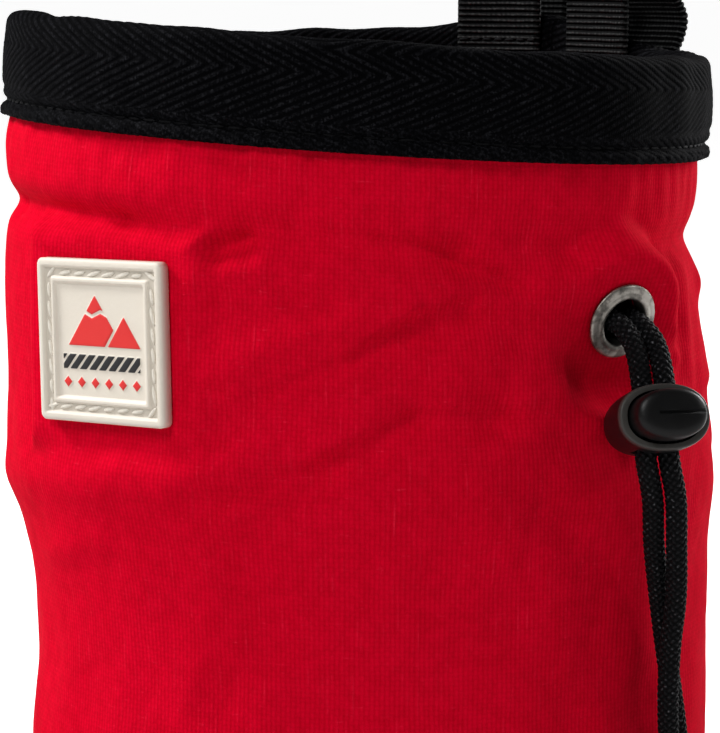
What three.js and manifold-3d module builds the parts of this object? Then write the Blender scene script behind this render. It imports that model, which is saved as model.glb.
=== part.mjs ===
// A climbing chalk bag, standing on its base: a round cloth bag with a bound rim, two belt
// loops at the back, a moulded label at the front, and a drawcord whose two ends leave an
// eyelet at the side, pass through a press toggle and hang down to a knot.
// Millimetres, +Z up. The origin is on the surface that the bag stands on, under its middle.
// A turn is an angle round the bag in degrees, seen from above: 0 is the front, at the label,
// and 90 is the side where the eyelet is. A share is a length divided by the size it follows.

import * as THREE from 'three';
import { mergeVertices } from 'three/addons/utils/BufferGeometryUtils.js';
import Module from 'manifold-3d';

// Bag body
const bagHeight = 150.4; // surface to the top of the rim, at its middle height
const bagRadius = 59.4; // outer radius of the cloth
const wallThickness = 3; // canvas and its lining together
const rimDrop = 3.9; // how much lower the rim is at rimDropTurn than at its middle height
const rimDropTurn = 135;
// Where the straps pull the rim up and where it sags, with the spread of each in degrees
const rimLifts = [
  { turn: 188, rise: 4.2, spread: 20 },
  { turn: 258, rise: -2.9, spread: 30 },
  { turn: 298, rise: -1.3, spread: 16 },
];
const baseCorner = 4; // rounding where the wall meets the base
const baseThickness = 2.6;
const seatGap = 0.3; // between two pieces that lie on each other

// Bound rim
const tapeThickness = 1.2;
const bindingDepth = 16.4; // height of the tape on the outside
const bindingInnerDepth = 15;
const hemHeight = 2.3; // flat hem below the stitch groove
const bindingSwell = 0.35; // how far the tape bulges between hem and rim

// Belt loops
const webbingWidth = 17;
const webbingThickness = 1.5;
const loopRise = 30; // top of a loop above the rim
const loopTuck = 14; // length sewn to the rim, inside and outside
const loopLeanFrom = 3; // heights above the rim between which the outer leg leans back in
const loopLeanTo = 10;
const loopCorner = 3.2;
const loopSeatGap = 0.45; // a flat strap bridges the small waves of the rim
// bow: how far the outer leg stands off at the rim; lean: how far it comes back in above
const beltLoops = [
  { name: 'belt_loop_left', turn: 195.3, bow: 3.2, lean: 0.8 },
  { name: 'belt_loop_right', turn: 169.5, bow: 5.5, lean: 4 },
];

// Moulded label
const labelWidth = 27;
const labelHeight = 26.2;
const labelThickness = 2.1;
const labelTurn = 3;
const labelRise = 103; // height of its middle
const labelYaw = 3; // it is flat and faces a little to the side, in degrees
const labelSink = 0.7; // how far its middle is drawn into the round of the cloth
const labelTilt = 1.5; // degrees, right edge up
const labelFrame = 1.4; // width of the raised outer frame
const labelChannel = 1.8; // width of the sunk channel that holds the stitches
const labelRim = 1; // width of the inner rim round the field

// Eyelet
const eyeletTurn = 90.6;
const eyeletRise = 106;
const eyeletRadius = 6.4;
const eyeletHole = 3.9; // radius of the hole
const eyeletBarrel = 0.7; // wall of the barrel
const eyeletFlange = 0.9; // how far the flange stands off the cloth
const eyeletDepth = 1.5; // how far the barrel goes into the wall
const eyeletYaw = -12; // the cloth faces a little to the front there, in degrees
const eyeletPitch = -18; // and a little down
const channelDepth = 2; // depth of the drawcord's channel in the wall

// Drawcord, toggle and knot
const cordDiameter = 3.4;
const cordSpacing = 3.7; // between the middles of the two strands
const knotRadius = 4.7;
const knotLength = 9;
const tailLength = 8;
const toggleYawTurn = 57; // the turn that the toggle's button points at
const togglePitch = 16; // degrees that it points up
const casingWidth = 14.8;
const casingHeight = 10.6;
const casingBack = 8; // behind the cord
const casingFront = 5.5; // in front of the cord
const casingFloor = 1.4;
const buttonWidth = 11.6;
const buttonHeight = 8;
const buttonStandOut = 5; // face of the button in front of the casing
const buttonTravel = 3;
const slideGap = 0.35; // between the button and its bore

// Resolution of the faceted forms
const columns = 54;
const wallRows = 19;
const roundSides = 20;
const cordSides = 8;
const cordSteps = 22;

// Radius and sideways shift of the bag up its height. at is a share of the height, and radius
// and sway are shares of the bag's radius. The sway is towards rimDropTurn.
const sections = [
  { at: 0.0, radius: 0.975, sway: 0.02 },
  { at: 0.06, radius: 0.985, sway: 0.022 },
  { at: 0.2, radius: 0.99, sway: 0.026 },
  { at: 0.3, radius: 0.98, sway: 0.037 },
  { at: 0.38, radius: 0.986, sway: 0.032 },
  { at: 0.44, radius: 1.0, sway: 0.018 },
  { at: 0.52, radius: 1.028, sway: 0.005 },
  { at: 0.6, radius: 1.015, sway: -0.006 },
  { at: 0.69, radius: 1.007, sway: -0.02 },
  { at: 0.75, radius: 0.996, sway: -0.028 },
  { at: 0.8, radius: 0.984, sway: -0.025 },
  { at: 0.86, radius: 0.995, sway: -0.026 },
  { at: 0.91, radius: 0.985, sway: -0.012 },
  { at: 1.0, radius: 0.983, sway: -0.004 },
];

// Folds in the cloth, each a soft ridge (push above 0) or crease (push below 0) from one
// place to another. at and toAt are shares of the height, push and spread of the radius.
const folds = [
  { turn: -29, at: 0.823, toTurn: 30, toAt: 0.832, push: 0.014, spread: 0.07 },
  { turn: -30, at: 0.797, toTurn: 5, toAt: 0.796, push: -0.028, spread: 0.046 },
  { turn: 5, at: 0.796, toTurn: 26, toAt: 0.782, push: -0.026, spread: 0.046 },
  { turn: 28, at: 0.795, toTurn: 60, toAt: 0.789, push: -0.02, spread: 0.05 },
  { turn: 60, at: 0.789, toTurn: 71, toAt: 0.758, push: -0.02, spread: 0.045 },
  { turn: 72, at: 0.8, toTurn: 98, toAt: 0.793, push: -0.014, spread: 0.05 },
  { turn: 98, at: 0.793, toTurn: 145, toAt: 0.798, push: -0.024, spread: 0.055 },
  { turn: 19, at: 0.757, toTurn: 29, toAt: 0.76, push: 0.013, spread: 0.065 },
  { turn: 19, at: 0.718, toTurn: 40, toAt: 0.736, push: -0.012, spread: 0.08 },
  { turn: 23, at: 0.661, toTurn: 58, toAt: 0.748, push: 0.014, spread: 0.065 },
  { turn: 30, at: 0.645, toTurn: 60, toAt: 0.73, push: -0.018, spread: 0.055 },
  { turn: 62, at: 0.728, toTurn: 84, toAt: 0.676, push: -0.014, spread: 0.055 },
  { turn: 48, at: 0.636, toTurn: 64, toAt: 0.667, push: 0.013, spread: 0.065 },
  { turn: 39, at: 0.555, toTurn: 53, toAt: 0.622, push: -0.018, spread: 0.06 },
  { turn: 53, at: 0.622, toTurn: 67, toAt: 0.622, push: -0.018, spread: 0.06 },
  { turn: 67, at: 0.622, toTurn: 86, toAt: 0.577, push: -0.016, spread: 0.07 },
  { turn: -44, at: 0.484, toTurn: 25, toAt: 0.545, push: 0.018, spread: 0.08 },
  { turn: 21, at: 0.522, toTurn: 48, toAt: 0.572, push: -0.019, spread: 0.048 },
  { turn: 74, at: 0.505, toTurn: 78, toAt: 0.495, push: -0.02, spread: 0.1 },
  { turn: 83, at: 0.38, toTurn: 81, toAt: 0.2, push: -0.013, spread: 0.09 },
  { turn: 94, at: 0.36, toTurn: 94, toAt: 0.46, push: 0.012, spread: 0.1 },
  { turn: 104, at: 0.765, toTurn: 109, toAt: 0.7, push: -0.014, spread: 0.045 },
  { turn: 113, at: 0.76, toTurn: 113, toAt: 0.66, push: 0.012, spread: 0.055 },
  { turn: 130, at: 0.742, toTurn: 140, toAt: 0.742, push: 0.018, spread: 0.05 },
  { turn: 145, at: 0.798, toTurn: 205, toAt: 0.796, push: -0.02, spread: 0.05 },
  { turn: 205, at: 0.796, toTurn: 262, toAt: 0.801, push: -0.023, spread: 0.05 },
  { turn: 262, at: 0.801, toTurn: 330, toAt: 0.797, push: -0.025, spread: 0.038 },
  { turn: 165, at: 0.838, toTurn: 222, toAt: 0.832, push: 0.012, spread: 0.07 },
  { turn: 150, at: 0.66, toTurn: 190, toAt: 0.6, push: -0.018, spread: 0.065 },
  { turn: 190, at: 0.6, toTurn: 222, toAt: 0.635, push: -0.016, spread: 0.06 },
  { turn: 158, at: 0.545, toTurn: 205, toAt: 0.5, push: 0.016, spread: 0.085 },
  { turn: 225, at: 0.7, toTurn: 262, toAt: 0.64, push: -0.017, spread: 0.065 },
  { turn: 232, at: 0.745, toTurn: 268, toAt: 0.69, push: 0.013, spread: 0.065 },
  { turn: 250, at: 0.52, toTurn: 300, toAt: 0.47, push: -0.018, spread: 0.065 },
  { turn: 270, at: 0.57, toTurn: 300, toAt: 0.53, push: 0.015, spread: 0.075 },
  { turn: 215, at: 0.4, toTurn: 218, toAt: 0.22, push: -0.014, spread: 0.09 },
  { turn: 286, at: 0.36, toTurn: 280, toAt: 0.18, push: -0.012, spread: 0.09 },
  { turn: 140, at: 0.34, toTurn: 143, toAt: 0.17, push: -0.012, spread: 0.09 },
];

// Route of the two strands' middle, from the wall out of the eyelet, through the toggle and
// down. out is beyond the bag's radius in millimetres and at a share of its height. twist is
// how far the pair is turned from side by side, in degrees.
const cordRoute = [
  { turn: 91.0, out: -2.5, at: 0.7093, twist: 12 },
  { turn: 90.6, out: -0.45, at: 0.7048, twist: 12 },
  { turn: 90.15, out: 1.8, at: 0.6998, twist: 14 },
  { turn: 89.8, out: 4.9, at: 0.682, twist: 26 },
  { turn: 88.4, out: 8.2, at: 0.643, twist: 35 },
  { turn: 87.6, out: 9.6, at: 0.6046, twist: 35 },
  { turn: 86.85, out: 11.0, at: 0.567, twist: 35 },
  { turn: 88.3, out: 10.9, at: 0.524, twist: 42 },
  { turn: 90.1, out: 9.4, at: 0.47, twist: 64 },
  { turn: 92.3, out: 7.9, at: 0.412, twist: 95 },
  { turn: 93.5, out: 7.0, at: 0.359, twist: 128 },
  { turn: 94.7, out: 6.5, at: 0.306, twist: 152 },
  { turn: 96.0, out: 6.2, at: 0.253, twist: 168 },
  { turn: 96.7, out: 6.1, at: 0.2, twist: 176 },
  { turn: 97.0, out: 6.2, at: 0.162, twist: 180 },
];
const togglePlace = cordRoute[5]; // the cord passes the middle of the toggle here
const knotPlace = cordRoute[cordRoute.length - 1];

const wasm = await Module();
wasm.setup();
const degrees = Math.PI / 180;

const material = (color, roughness, metalness = 0) =>
  new THREE.MeshStandardMaterial({ color, roughness, metalness });
const canvas = material(0xd0102c, 0.85);
const tape = material(0x0e0e11, 0.8);
const webbing = material(0x101013, 0.75);
const rubber = material(0xe8e2d6, 0.55);
const nickel = material(0x8f8f88, 0.35, 1);
const braid = material(0x0c0c0e, 0.8);
const plastic = material(0x111113, 0.4);

// A smooth curve through one column of a table whose rows are in order of at
function read(rows, column, at) {
  let i = 0;
  while (i < rows.length - 2 && at > rows[i + 1].at) i += 1;
  const low = rows[i];
  const high = rows[i + 1];
  const before = rows[Math.max(i - 1, 0)];
  const after = rows[Math.min(i + 2, rows.length - 1)];
  const span = high.at - low.at;
  const t = THREE.MathUtils.clamp((at - low.at) / span, 0, 1);
  const leave = (span * (high[column] - before[column])) / (high.at - before.at);
  const arrive = (span * (after[column] - low[column])) / (after.at - low.at);
  const t2 = t * t;
  const t3 = t2 * t;
  return (
    (2 * t3 - 3 * t2 + 1) * low[column] +
    (t3 - 2 * t2 + t) * leave +
    (3 * t2 - 2 * t3) * high[column] +
    (t3 - t2) * arrive
  );
}

const polar = (turn, radius, height) =>
  new THREE.Vector3(radius * Math.sin(turn * degrees), -radius * Math.cos(turn * degrees), height);

// Signed difference of two turns, from -180 to 180
const turnFrom = (turn, other) => THREE.MathUtils.euclideanModulo(turn - other + 180, 360) - 180;

// Height of the top of the rim
function rimTop(turn) {
  let top = bagHeight - rimDrop * Math.cos((turn - rimDropTurn) * degrees);
  for (const lift of rimLifts) {
    top += lift.rise * Math.exp(-((turnFrom(turn, lift.turn) / lift.spread) ** 2));
  }
  return top;
}

// How far the folds move the cloth at one place
function foldRelief(turn, height) {
  const top = rimTop(turn);
  let relief = 0;
  for (const fold of folds) {
    const middle = (fold.turn + fold.toTurn) / 2;
    const across = turnFrom(turn, middle) * degrees * bagRadius;
    const up = height - ((fold.at + fold.toAt) / 2) * top;
    const halfAcross = ((fold.toTurn - fold.turn) / 2) * degrees * bagRadius;
    const halfUp = ((fold.toAt - fold.at) / 2) * top;
    const length2 = halfAcross * halfAcross + halfUp * halfUp;
    const along = THREE.MathUtils.clamp((across * halfAcross + up * halfUp) / length2, -1, 1);
    const away = Math.hypot(across - along * halfAcross, up - along * halfUp);
    relief += fold.push * bagRadius * Math.exp(-((away / (fold.spread * bagRadius)) ** 2));
  }
  return relief;
}

// 1 on the label's seat, where the cloth is held flat, and 0 away from it
function labelSeatShare(turn, height) {
  const away = Math.max(
    (Math.abs(turnFrom(turn, labelTurn)) * degrees * bagRadius) / labelWidth,
    Math.abs(height - labelRise) / labelHeight,
  );
  return 1 - THREE.MathUtils.smoothstep(away, 0.56, 0.8);
}

// 1 on the eyelet's seat, where the cloth is drawn flat, and 0 away from it
function eyeletSeatShare(turn, height) {
  const across = turnFrom(turn, eyeletTurn) * degrees * bagRadius;
  const away = Math.hypot(across, height - eyeletRise) / eyeletRadius;
  return 1 - THREE.MathUtils.smoothstep(away, 1.5, 2.7);
}

// Where a flat seat is: its local +Z points out of the cloth
function seatFrame(turn, rise, sink, yaw, pitch) {
  const place = new THREE.Object3D();
  place.up.set(0, 0, 1);
  place.position.copy(polar(turn, smoothRadius(turn, rise) - sink, rise));
  const facing = polar(turn + yaw, 1, Math.tan(pitch * degrees));
  place.lookAt(place.position.clone().add(facing));
  place.updateMatrix();
  return place;
}

const labelFlat = () => seatFrame(labelTurn, labelRise, labelSink, labelYaw, 0);
const eyeletFlat = () => seatFrame(eyeletTurn, eyeletRise, 0, eyeletYaw, eyeletPitch);

// Radius at which a horizontal line from the bag's middle meets a flat seat
function flatRadius(seat, turn, height) {
  const normal = new THREE.Vector3(0, 0, 1).applyQuaternion(seat.quaternion);
  return (seat.position.dot(normal) - height * normal.z) / polar(turn, 1, 0).dot(normal);
}

// Radius of the cloth without its folds
function smoothRadius(turn, height) {
  const at = height / rimTop(turn);
  const sway = read(sections, 'sway', at) * Math.cos((turn - rimDropTurn) * degrees);
  const corner = THREE.MathUtils.clamp(1 - height / baseCorner, 0, 1);
  const cut = baseCorner * (1 - Math.sqrt(1 - corner ** 2));
  return bagRadius * (read(sections, 'radius', at) + sway) - cut;
}

// Outer radius of the cloth
function clothRadius(turn, height) {
  let radius = smoothRadius(turn, height) + foldRelief(turn, height);
  const seats = [
    { share: labelSeatShare(turn, height), flat: labelFlat },
    { share: eyeletSeatShare(turn, height), flat: eyeletFlat },
  ];
  for (const { share, flat } of seats) {
    if (share > 0) radius = THREE.MathUtils.lerp(radius, flatRadius(flat(), turn, height), share);
  }
  return radius;
}

// A closed solid through a row of loops of points, ringed or with its two ends filled
function loft(loops, ringed = false) {
  const count = loops[0].length;
  const positions = loops.flat().flatMap((point) => point.toArray());
  const index = [];
  const last = ringed ? loops.length : loops.length - 1;
  for (let i = 0; i < last; i += 1) {
    for (let j = 0; j < count; j += 1) {
      const here = i * count;
      const next = ((i + 1) % loops.length) * count;
      const j2 = (j + 1) % count;
      index.push(here + j, next + j, next + j2, here + j, next + j2, here + j2);
    }
  }
  if (!ringed) {
    const end = (loops.length - 1) * count;
    for (let j = 0; j < count / 2 - 1; j += 1) {
      const k = count - 1 - j;
      index.push(j, j + 1, k - 1, j, k - 1, k);
      index.push(end + j, end + k - 1, end + j + 1, end + j, end + k, end + k - 1);
    }
  }
  const geometry = new THREE.BufferGeometry();
  geometry.setAttribute('position', new THREE.Float32BufferAttribute(positions, 3));
  geometry.setIndex(signedVolume(positions, index) < 0 ? index.reverse() : index);
  return withoutFlatFaces(geometry);
}

function signedVolume(positions, index) {
  const corner = (n) => new THREE.Vector3().fromArray(positions, 3 * n);
  let volume = 0;
  for (let i = 0; i < index.length; i += 3) {
    const [a, b, c] = [corner(index[i]), corner(index[i + 1]), corner(index[i + 2])];
    volume += a.dot(b.cross(c)) / 6;
  }
  return volume;
}

// Merges equal corners and drops the triangles that this makes empty
function withoutFlatFaces(geometry) {
  const merged = mergeVertices(geometry, 1e-4);
  const index = merged.index.array;
  const kept = [];
  for (let i = 0; i < index.length; i += 3) {
    const [a, b, c] = [index[i], index[i + 1], index[i + 2]];
    if (a !== b && b !== c && c !== a) kept.push(a, b, c);
  }
  merged.setIndex(kept);
  return merged;
}

function toSolid(geometry) {
  const bare = geometry.clone();
  bare.deleteAttribute('normal');
  bare.deleteAttribute('uv');
  const merged = mergeVertices(bare, 1e-4);
  return new wasm.Manifold(
    new wasm.Mesh({
      numProp: 3,
      vertProperties: new Float32Array(merged.attributes.position.array),
      triVerts: new Uint32Array(merged.index.array),
    }),
  );
}

function toGeometry(solid) {
  const { vertProperties, triVerts } = solid.getMesh();
  const geometry = new THREE.BufferGeometry();
  geometry.setAttribute('position', new THREE.BufferAttribute(vertProperties, 3));
  geometry.setIndex(new THREE.BufferAttribute(triVerts, 1));
  return geometry;
}

function piece(name, geometry, look) {
  const mesh = new THREE.Mesh(geometry, look);
  mesh.name = name;
  return mesh;
}

const turns = Array.from({ length: columns }, (_, i) => (360 * i) / columns);

// Wall of the bag, one closed ring, with the drawcord's channel opened at the eyelet
function bodyShell() {
  const cornerRows = [0, 0.15, 0.5].map((share) => share * baseCorner);
  const loops = turns.map((turn) => {
    const top = rimTop(turn) - tapeThickness - seatGap;
    const step = (top - baseCorner) / wallRows;
    const wallHeights = Array.from({ length: wallRows + 1 }, (_, row) => baseCorner + row * step);
    const heights = [...cornerRows, ...wallHeights];
    const outer = heights.map((height) => polar(turn, clothRadius(turn, height), height));
    const inner = heights.map((height) => {
      return polar(turn, clothRadius(turn, height) - wallThickness, height);
    });
    return [...outer, ...inner.reverse()];
  });
  const place = eyeletFlat();
  const bore = eyeletHole + eyeletBarrel + seatGap;
  const reach = 2 * eyeletRadius;
  const channel = new THREE.CylinderGeometry(bore, bore, reach, roundSides);
  channel.rotateX(Math.PI / 2);
  channel.translate(0, 0, reach / 2 - channelDepth);
  channel.applyMatrix4(place.matrix);
  return piece('body_shell', toGeometry(toSolid(loft(loops, true)).subtract(toSolid(channel))), canvas);
}

// Flat round base inside the lower edge of the wall
function basePanel() {
  const softEdge = 0.5;
  const rings = [
    { height: 0, inset: softEdge },
    { height: softEdge, inset: 0 },
    { height: baseThickness - softEdge, inset: 0 },
    { height: baseThickness, inset: softEdge },
  ];
  const loops = rings.map(({ height, inset }) =>
    turns.map((turn) => {
      const inside = clothRadius(turn, 0) - wallThickness - seatGap;
      return polar(turn, inside - inset, height);
    }),
  );
  return piece('base_panel', loft(loops), canvas);
}

// Tape folded over the rim. down is below the rim and out beyond the outside of the wall.
function rimBinding() {
  const outside = seatGap + tapeThickness;
  const inside = -(wallThickness + seatGap);
  const innerFace = inside - tapeThickness;
  const groove = bindingDepth - hemHeight;
  const shoulder = (outside - innerFace) / 2;
  const profile = [
    { down: bindingDepth, out: seatGap },
    { down: bindingDepth, out: outside - 0.15 },
    { down: groove + 0.5, out: outside - 0.1 },
    { down: groove, out: seatGap + tapeThickness / 2 },
    { down: groove - 0.7, out: outside },
    { down: bindingDepth / 2, out: outside + bindingSwell },
    { down: shoulder, out: outside },
    { down: shoulder * 0.3, out: outside - shoulder * 0.3 },
    { down: 0, out: outside - shoulder },
    { down: shoulder * 0.3, out: innerFace + shoulder * 0.3 },
    { down: shoulder, out: innerFace },
    { down: bindingInnerDepth, out: innerFace },
    { down: bindingInnerDepth, out: inside },
    { down: tapeThickness, out: inside },
    { down: tapeThickness, out: seatGap },
  ];
  const loops = turns.map((turn) =>
    profile.map(({ down, out }) => {
      const height = rimTop(turn) - down;
      return polar(turn, clothRadius(turn, height) + out, height);
    }),
  );
  return piece('rim_binding', loft(loops, true), tape);
}

// A belt loop: one strap from inside the rim, up, over and down to the outside of the rim
function beltLoop({ name, turn, bow, lean }) {
  const top = rimTop(turn);
  const rim = clothRadius(turn, top - bindingDepth / 2);
  const half = webbingThickness / 2;
  const insideLeg = rim - wallThickness - seatGap - tapeThickness - loopSeatGap - half;
  const outsideLeg = rim + seatGap + tapeThickness + bindingSwell + loopSeatGap + half;
  const crown = top + loopRise - half;
  const belly = outsideLeg + bow;
  const upright = belly - lean;
  const route = [
    { out: insideLeg, up: top - loopTuck },
    { out: insideLeg, up: top },
    { out: insideLeg, up: crown - loopCorner },
    { out: insideLeg + loopCorner * 0.3, up: crown - loopCorner * 0.3 },
    { out: insideLeg + loopCorner, up: crown },
    { out: upright - loopCorner, up: crown },
    { out: upright - loopCorner * 0.3, up: crown - loopCorner * 0.3 },
    { out: upright, up: crown - loopCorner },
    { out: upright, up: top + loopLeanTo },
    { out: belly - lean * 0.35, up: top + (loopLeanFrom + loopLeanTo) / 2 },
    { out: belly, up: top + loopLeanFrom },
    { out: outsideLeg + bow * 0.4, up: top - loopTuck * 0.25 },
    { out: outsideLeg, up: top - loopTuck * 0.6 },
    { out: outsideLeg, up: top - loopTuck },
  ];
  const cells = 3;
  const loops = route.map((point, i) => {
    const side = stripOffset(route, i, half);
    const edge = (sign) =>
      Array.from({ length: cells + 1 }, (_, k) => {
        const radius = point.out + sign * side.out;
        const across = webbingWidth * (k / cells - 0.5);
        return polar(turn + across / point.out / degrees, radius, point.up + sign * side.up);
      });
    return [...edge(1), ...edge(-1).reverse()];
  });
  return piece(name, loft(loops), webbing);
}

// Step from the middle of a strip to its face, at one corner of its route
function stripOffset(route, i, half) {
  const direction = (a, b) => {
    const length = Math.hypot(b.out - a.out, b.up - a.up);
    return { out: (b.out - a.out) / length, up: (b.up - a.up) / length };
  };
  const before = direction(route[Math.max(i - 1, 0)], route[Math.max(i, 1)]);
  const after = i < route.length - 1 ? direction(route[i], route[i + 1]) : before;
  const normal = { out: -(before.up + after.up), up: before.out + after.out };
  const reach = (normal.out * -before.up + normal.up * before.out) || 1;
  return { out: (normal.out * half) / reach, up: (normal.up * half) / reach };
}

// Moulded label with a frame, a stitch channel and an inner rim round a sunk field
function labelPatch() {
  const channelEdge = labelFrame + labelChannel;
  const fieldEdge = channelEdge + labelRim;
  const slope = 0.35; // the mould's steps aren't upright
  // share of the label's thickness at each inset from its edge
  const steps = [
    { inset: 0, share: 0.85 },
    { inset: labelFrame - slope, share: 1 },
    { inset: labelFrame + slope, share: 0.72 },
    { inset: channelEdge + slope, share: 0.95 },
    { inset: fieldEdge, share: 0.68 },
  ];
  const lines = (size) => {
    const rising = steps.map((step) => ({ ...step, along: step.inset - size / 2 }));
    const field = rising[rising.length - 1];
    const middle = [0.5, 0, -0.5].map((part) => ({ ...field, inset: size, along: field.along * part }));
    const falling = rising.map((line) => ({ ...line, along: -line.along })).reverse();
    return [...rising, ...middle, ...falling];
  };
  const rows = lines(labelHeight);
  const loops = lines(labelWidth).map((column) => {
    const point = (row, lift) => new THREE.Vector3(column.along, row.along, seatGap + lift);
    const lift = (row) => labelThickness * (row.inset < column.inset ? row.share : column.share);
    const front = rows.map((row) => point(row, lift(row)));
    const back = rows.map((row) => point(row, 0)).reverse();
    return [...front, ...back];
  });
  const mesh = piece('label_patch', loft(loops), rubber);
  const place = labelFlat();
  mesh.position.copy(place.position);
  mesh.quaternion.copy(place.quaternion);
  mesh.rotateZ(labelTilt * degrees);
  return mesh;
}

// Metal ring with a rolled flange on the cloth and a barrel in the wall
function eyelet() {
  const lift = seatGap + 0.1;
  const profile = [
    { radius: eyeletHole, up: -eyeletDepth },
    { radius: eyeletHole, up: lift + eyeletFlange * 0.5 },
    { radius: eyeletHole + 0.3, up: lift + eyeletFlange * 0.9 },
    { radius: eyeletHole + 0.9, up: lift + eyeletFlange },
    { radius: eyeletRadius - 0.7, up: lift + eyeletFlange * 0.7 },
    { radius: eyeletRadius, up: lift + eyeletFlange * 0.2 },
    { radius: eyeletRadius, up: lift },
    { radius: eyeletHole + eyeletBarrel, up: lift },
    { radius: eyeletHole + eyeletBarrel, up: -eyeletDepth },
  ];
  const loops = Array.from({ length: roundSides }, (_, i) => {
    const angle = (2 * Math.PI * i) / roundSides;
    return profile.map(
      ({ radius, up }) => new THREE.Vector3(radius * Math.cos(angle), radius * Math.sin(angle), up),
    );
  });
  const mesh = piece('eyelet', loft(loops, true), nickel);
  const place = eyeletFlat();
  mesh.position.copy(place.position);
  mesh.quaternion.copy(place.quaternion);
  return mesh;
}

// Middle of the pair of strands at one row of the route, and the pair's sideways direction
function pairAt(row) {
  const middle = polar(row.turn, bagRadius + row.out, row.at * bagHeight);
  const outward = polar(row.turn, 1, 0);
  const sideways = polar(row.turn + 90, 1, 0);
  const turned = sideways
    .multiplyScalar(Math.cos(row.twist * degrees))
    .addScaledVector(outward, Math.sin(row.twist * degrees));
  return { middle, turned };
}

function strandPoints(side) {
  return cordRoute.map((row) => {
    const { middle, turned } = pairAt(row);
    return middle.addScaledVector(turned, (side * cordSpacing) / 2);
  });
}

function tube(points, radius, steps) {
  const section = new THREE.Shape();
  for (let i = 0; i < cordSides; i += 1) {
    const angle = (2 * Math.PI * i) / cordSides;
    const corner = [radius * Math.cos(angle), radius * Math.sin(angle)];
    if (i === 0) section.moveTo(...corner);
    else section.lineTo(...corner);
  }
  section.closePath();
  const path = new THREE.CatmullRomCurve3(points, false, 'centripetal');
  return new THREE.ExtrudeGeometry(section, { steps, extrudePath: path, bevelEnabled: false });
}

const drawcord = (name, side) =>
  piece(name, tube(strandPoints(side), cordDiameter / 2, cordSteps), braid);

// Both strands tied in one overhand knot, with two short tails
function cordKnot() {
  const { middle, turned } = pairAt(knotPlace);
  const rings = [
    { down: 0, share: 0.5 },
    { down: 0.14, share: 0.86 },
    { down: 0.4, share: 1 },
    { down: 0.66, share: 0.96 },
    { down: 0.88, share: 0.78 },
    { down: 1, share: 0.45 },
  ];
  const loops = rings.map(({ down, share }) =>
    Array.from({ length: 14 }, (_, i) => {
      const angle = (2 * Math.PI * i) / 14;
      const radius = knotRadius * share * (1 + 0.06 * Math.cos(2 * angle + 5 * down));
      return new THREE.Vector3(
        middle.x + radius * Math.cos(angle),
        middle.y + radius * Math.sin(angle),
        middle.z - seatGap - down * knotLength,
      );
    }),
  );
  let solid = toSolid(loft(loops));
  for (const side of [-1, 1]) {
    const start = middle.clone().addScaledVector(turned, (side * cordSpacing) / 2);
    start.z -= knotLength * 0.75;
    const end = start.clone().addScaledVector(turned, side * 1.3);
    end.z -= knotLength * 0.25 + tailLength;
    const bend = start.clone().lerp(end, 0.5).addScaledVector(turned, side * 0.4);
    solid = solid.add(toSolid(tube([start, bend, end], cordDiameter / 2, 4)));
  }
  return piece('cord_knot', toGeometry(solid), braid);
}

// An oval of the toggle's section, across its slide direction, at one place along it
function oval(width, height, along) {
  return Array.from({ length: roundSides }, (_, i) => {
    const angle = (2 * Math.PI * i) / roundSides;
    const squared = (value) => Math.sign(value) * Math.abs(value) ** 0.88;
    return new THREE.Vector3(
      (width / 2) * squared(Math.cos(angle)),
      along,
      (height / 2) * squared(Math.sin(angle)),
    );
  });
}

// A slot for both strands, from top to bottom of the toggle
function cordSlot(from, to) {
  const width = cordSpacing + cordDiameter + 2 * slideGap;
  const slot = new THREE.BoxGeometry(width, to - from, 3 * casingHeight);
  slot.translate(0, (from + to) / 2, 0);
  return toSolid(slot);
}

// Casing of the toggle. Its local +Y is where the button comes out and +Z runs up the cord.
function toggleCasing() {
  const length = casingBack + casingFront;
  const outer = [
    { at: 0, share: 0.52 },
    { at: 0.05, share: 0.76 },
    { at: 0.18, share: 0.93 },
    { at: 0.5, share: 1 },
    { at: 0.92, share: 1 },
    { at: 1, share: 0.95 },
  ].map(({ at, share }) => oval(casingWidth * share, casingHeight * share, at * length - casingBack));
  const boreFloor = casingFloor - casingBack;
  const bore = [boreFloor, casingFront + 1].map((along) =>
    oval(buttonWidth + 2 * slideGap, buttonHeight + 2 * slideGap, along),
  );
  const cordRoom = cordDiameter / 2 + slideGap;
  const solid = toSolid(loft(outer)).subtract(toSolid(loft(bore))).subtract(cordSlot(-cordRoom, cordRoom));
  return piece('toggle_casing', toGeometry(solid), plastic);
}

// Button of the toggle, slotted so that it can slide in past the strands
function toggleButton() {
  const cordRoom = cordDiameter / 2 + slideGap;
  const face = casingFront + buttonStandOut;
  const heel = -cordRoom - 1.1;
  const length = face - heel;
  const body = [
    { at: 0, share: 0.96 },
    { at: 0.04, share: 1 },
    { at: 0.84, share: 1 },
    { at: 0.93, share: 0.93 },
    { at: 0.98, share: 0.76 },
    { at: 1, share: 0.5 },
  ].map(({ at, share }) => oval(buttonWidth * share, buttonHeight * share, heel + at * length));
  const rib = new THREE.BoxGeometry(buttonWidth * 0.7, 1, 0.8);
  rib.translate(0, face - 0.35, 0);
  const slot = cordSlot(-cordRoom, cordRoom + buttonTravel);
  const solid = toSolid(loft(body)).add(toSolid(rib)).subtract(slot);
  return piece('toggle_button', toGeometry(solid), plastic);
}

function toggle() {
  const group = new THREE.Group();
  group.add(toggleCasing(), toggleButton());
  group.position.copy(pairAt(togglePlace).middle);
  group.rotation.set(togglePitch * degrees, 0, (toggleYawTurn + 180) * degrees, 'ZXY');
  return group;
}

const bag = new THREE.Group();
bag.add(bodyShell(), basePanel(), rimBinding(), labelPatch(), eyelet());
bag.add(...beltLoops.map(beltLoop));
bag.add(drawcord('drawcord_left', -1), drawcord('drawcord_right', 1), cordKnot(), toggle());

export default bag;
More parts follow.
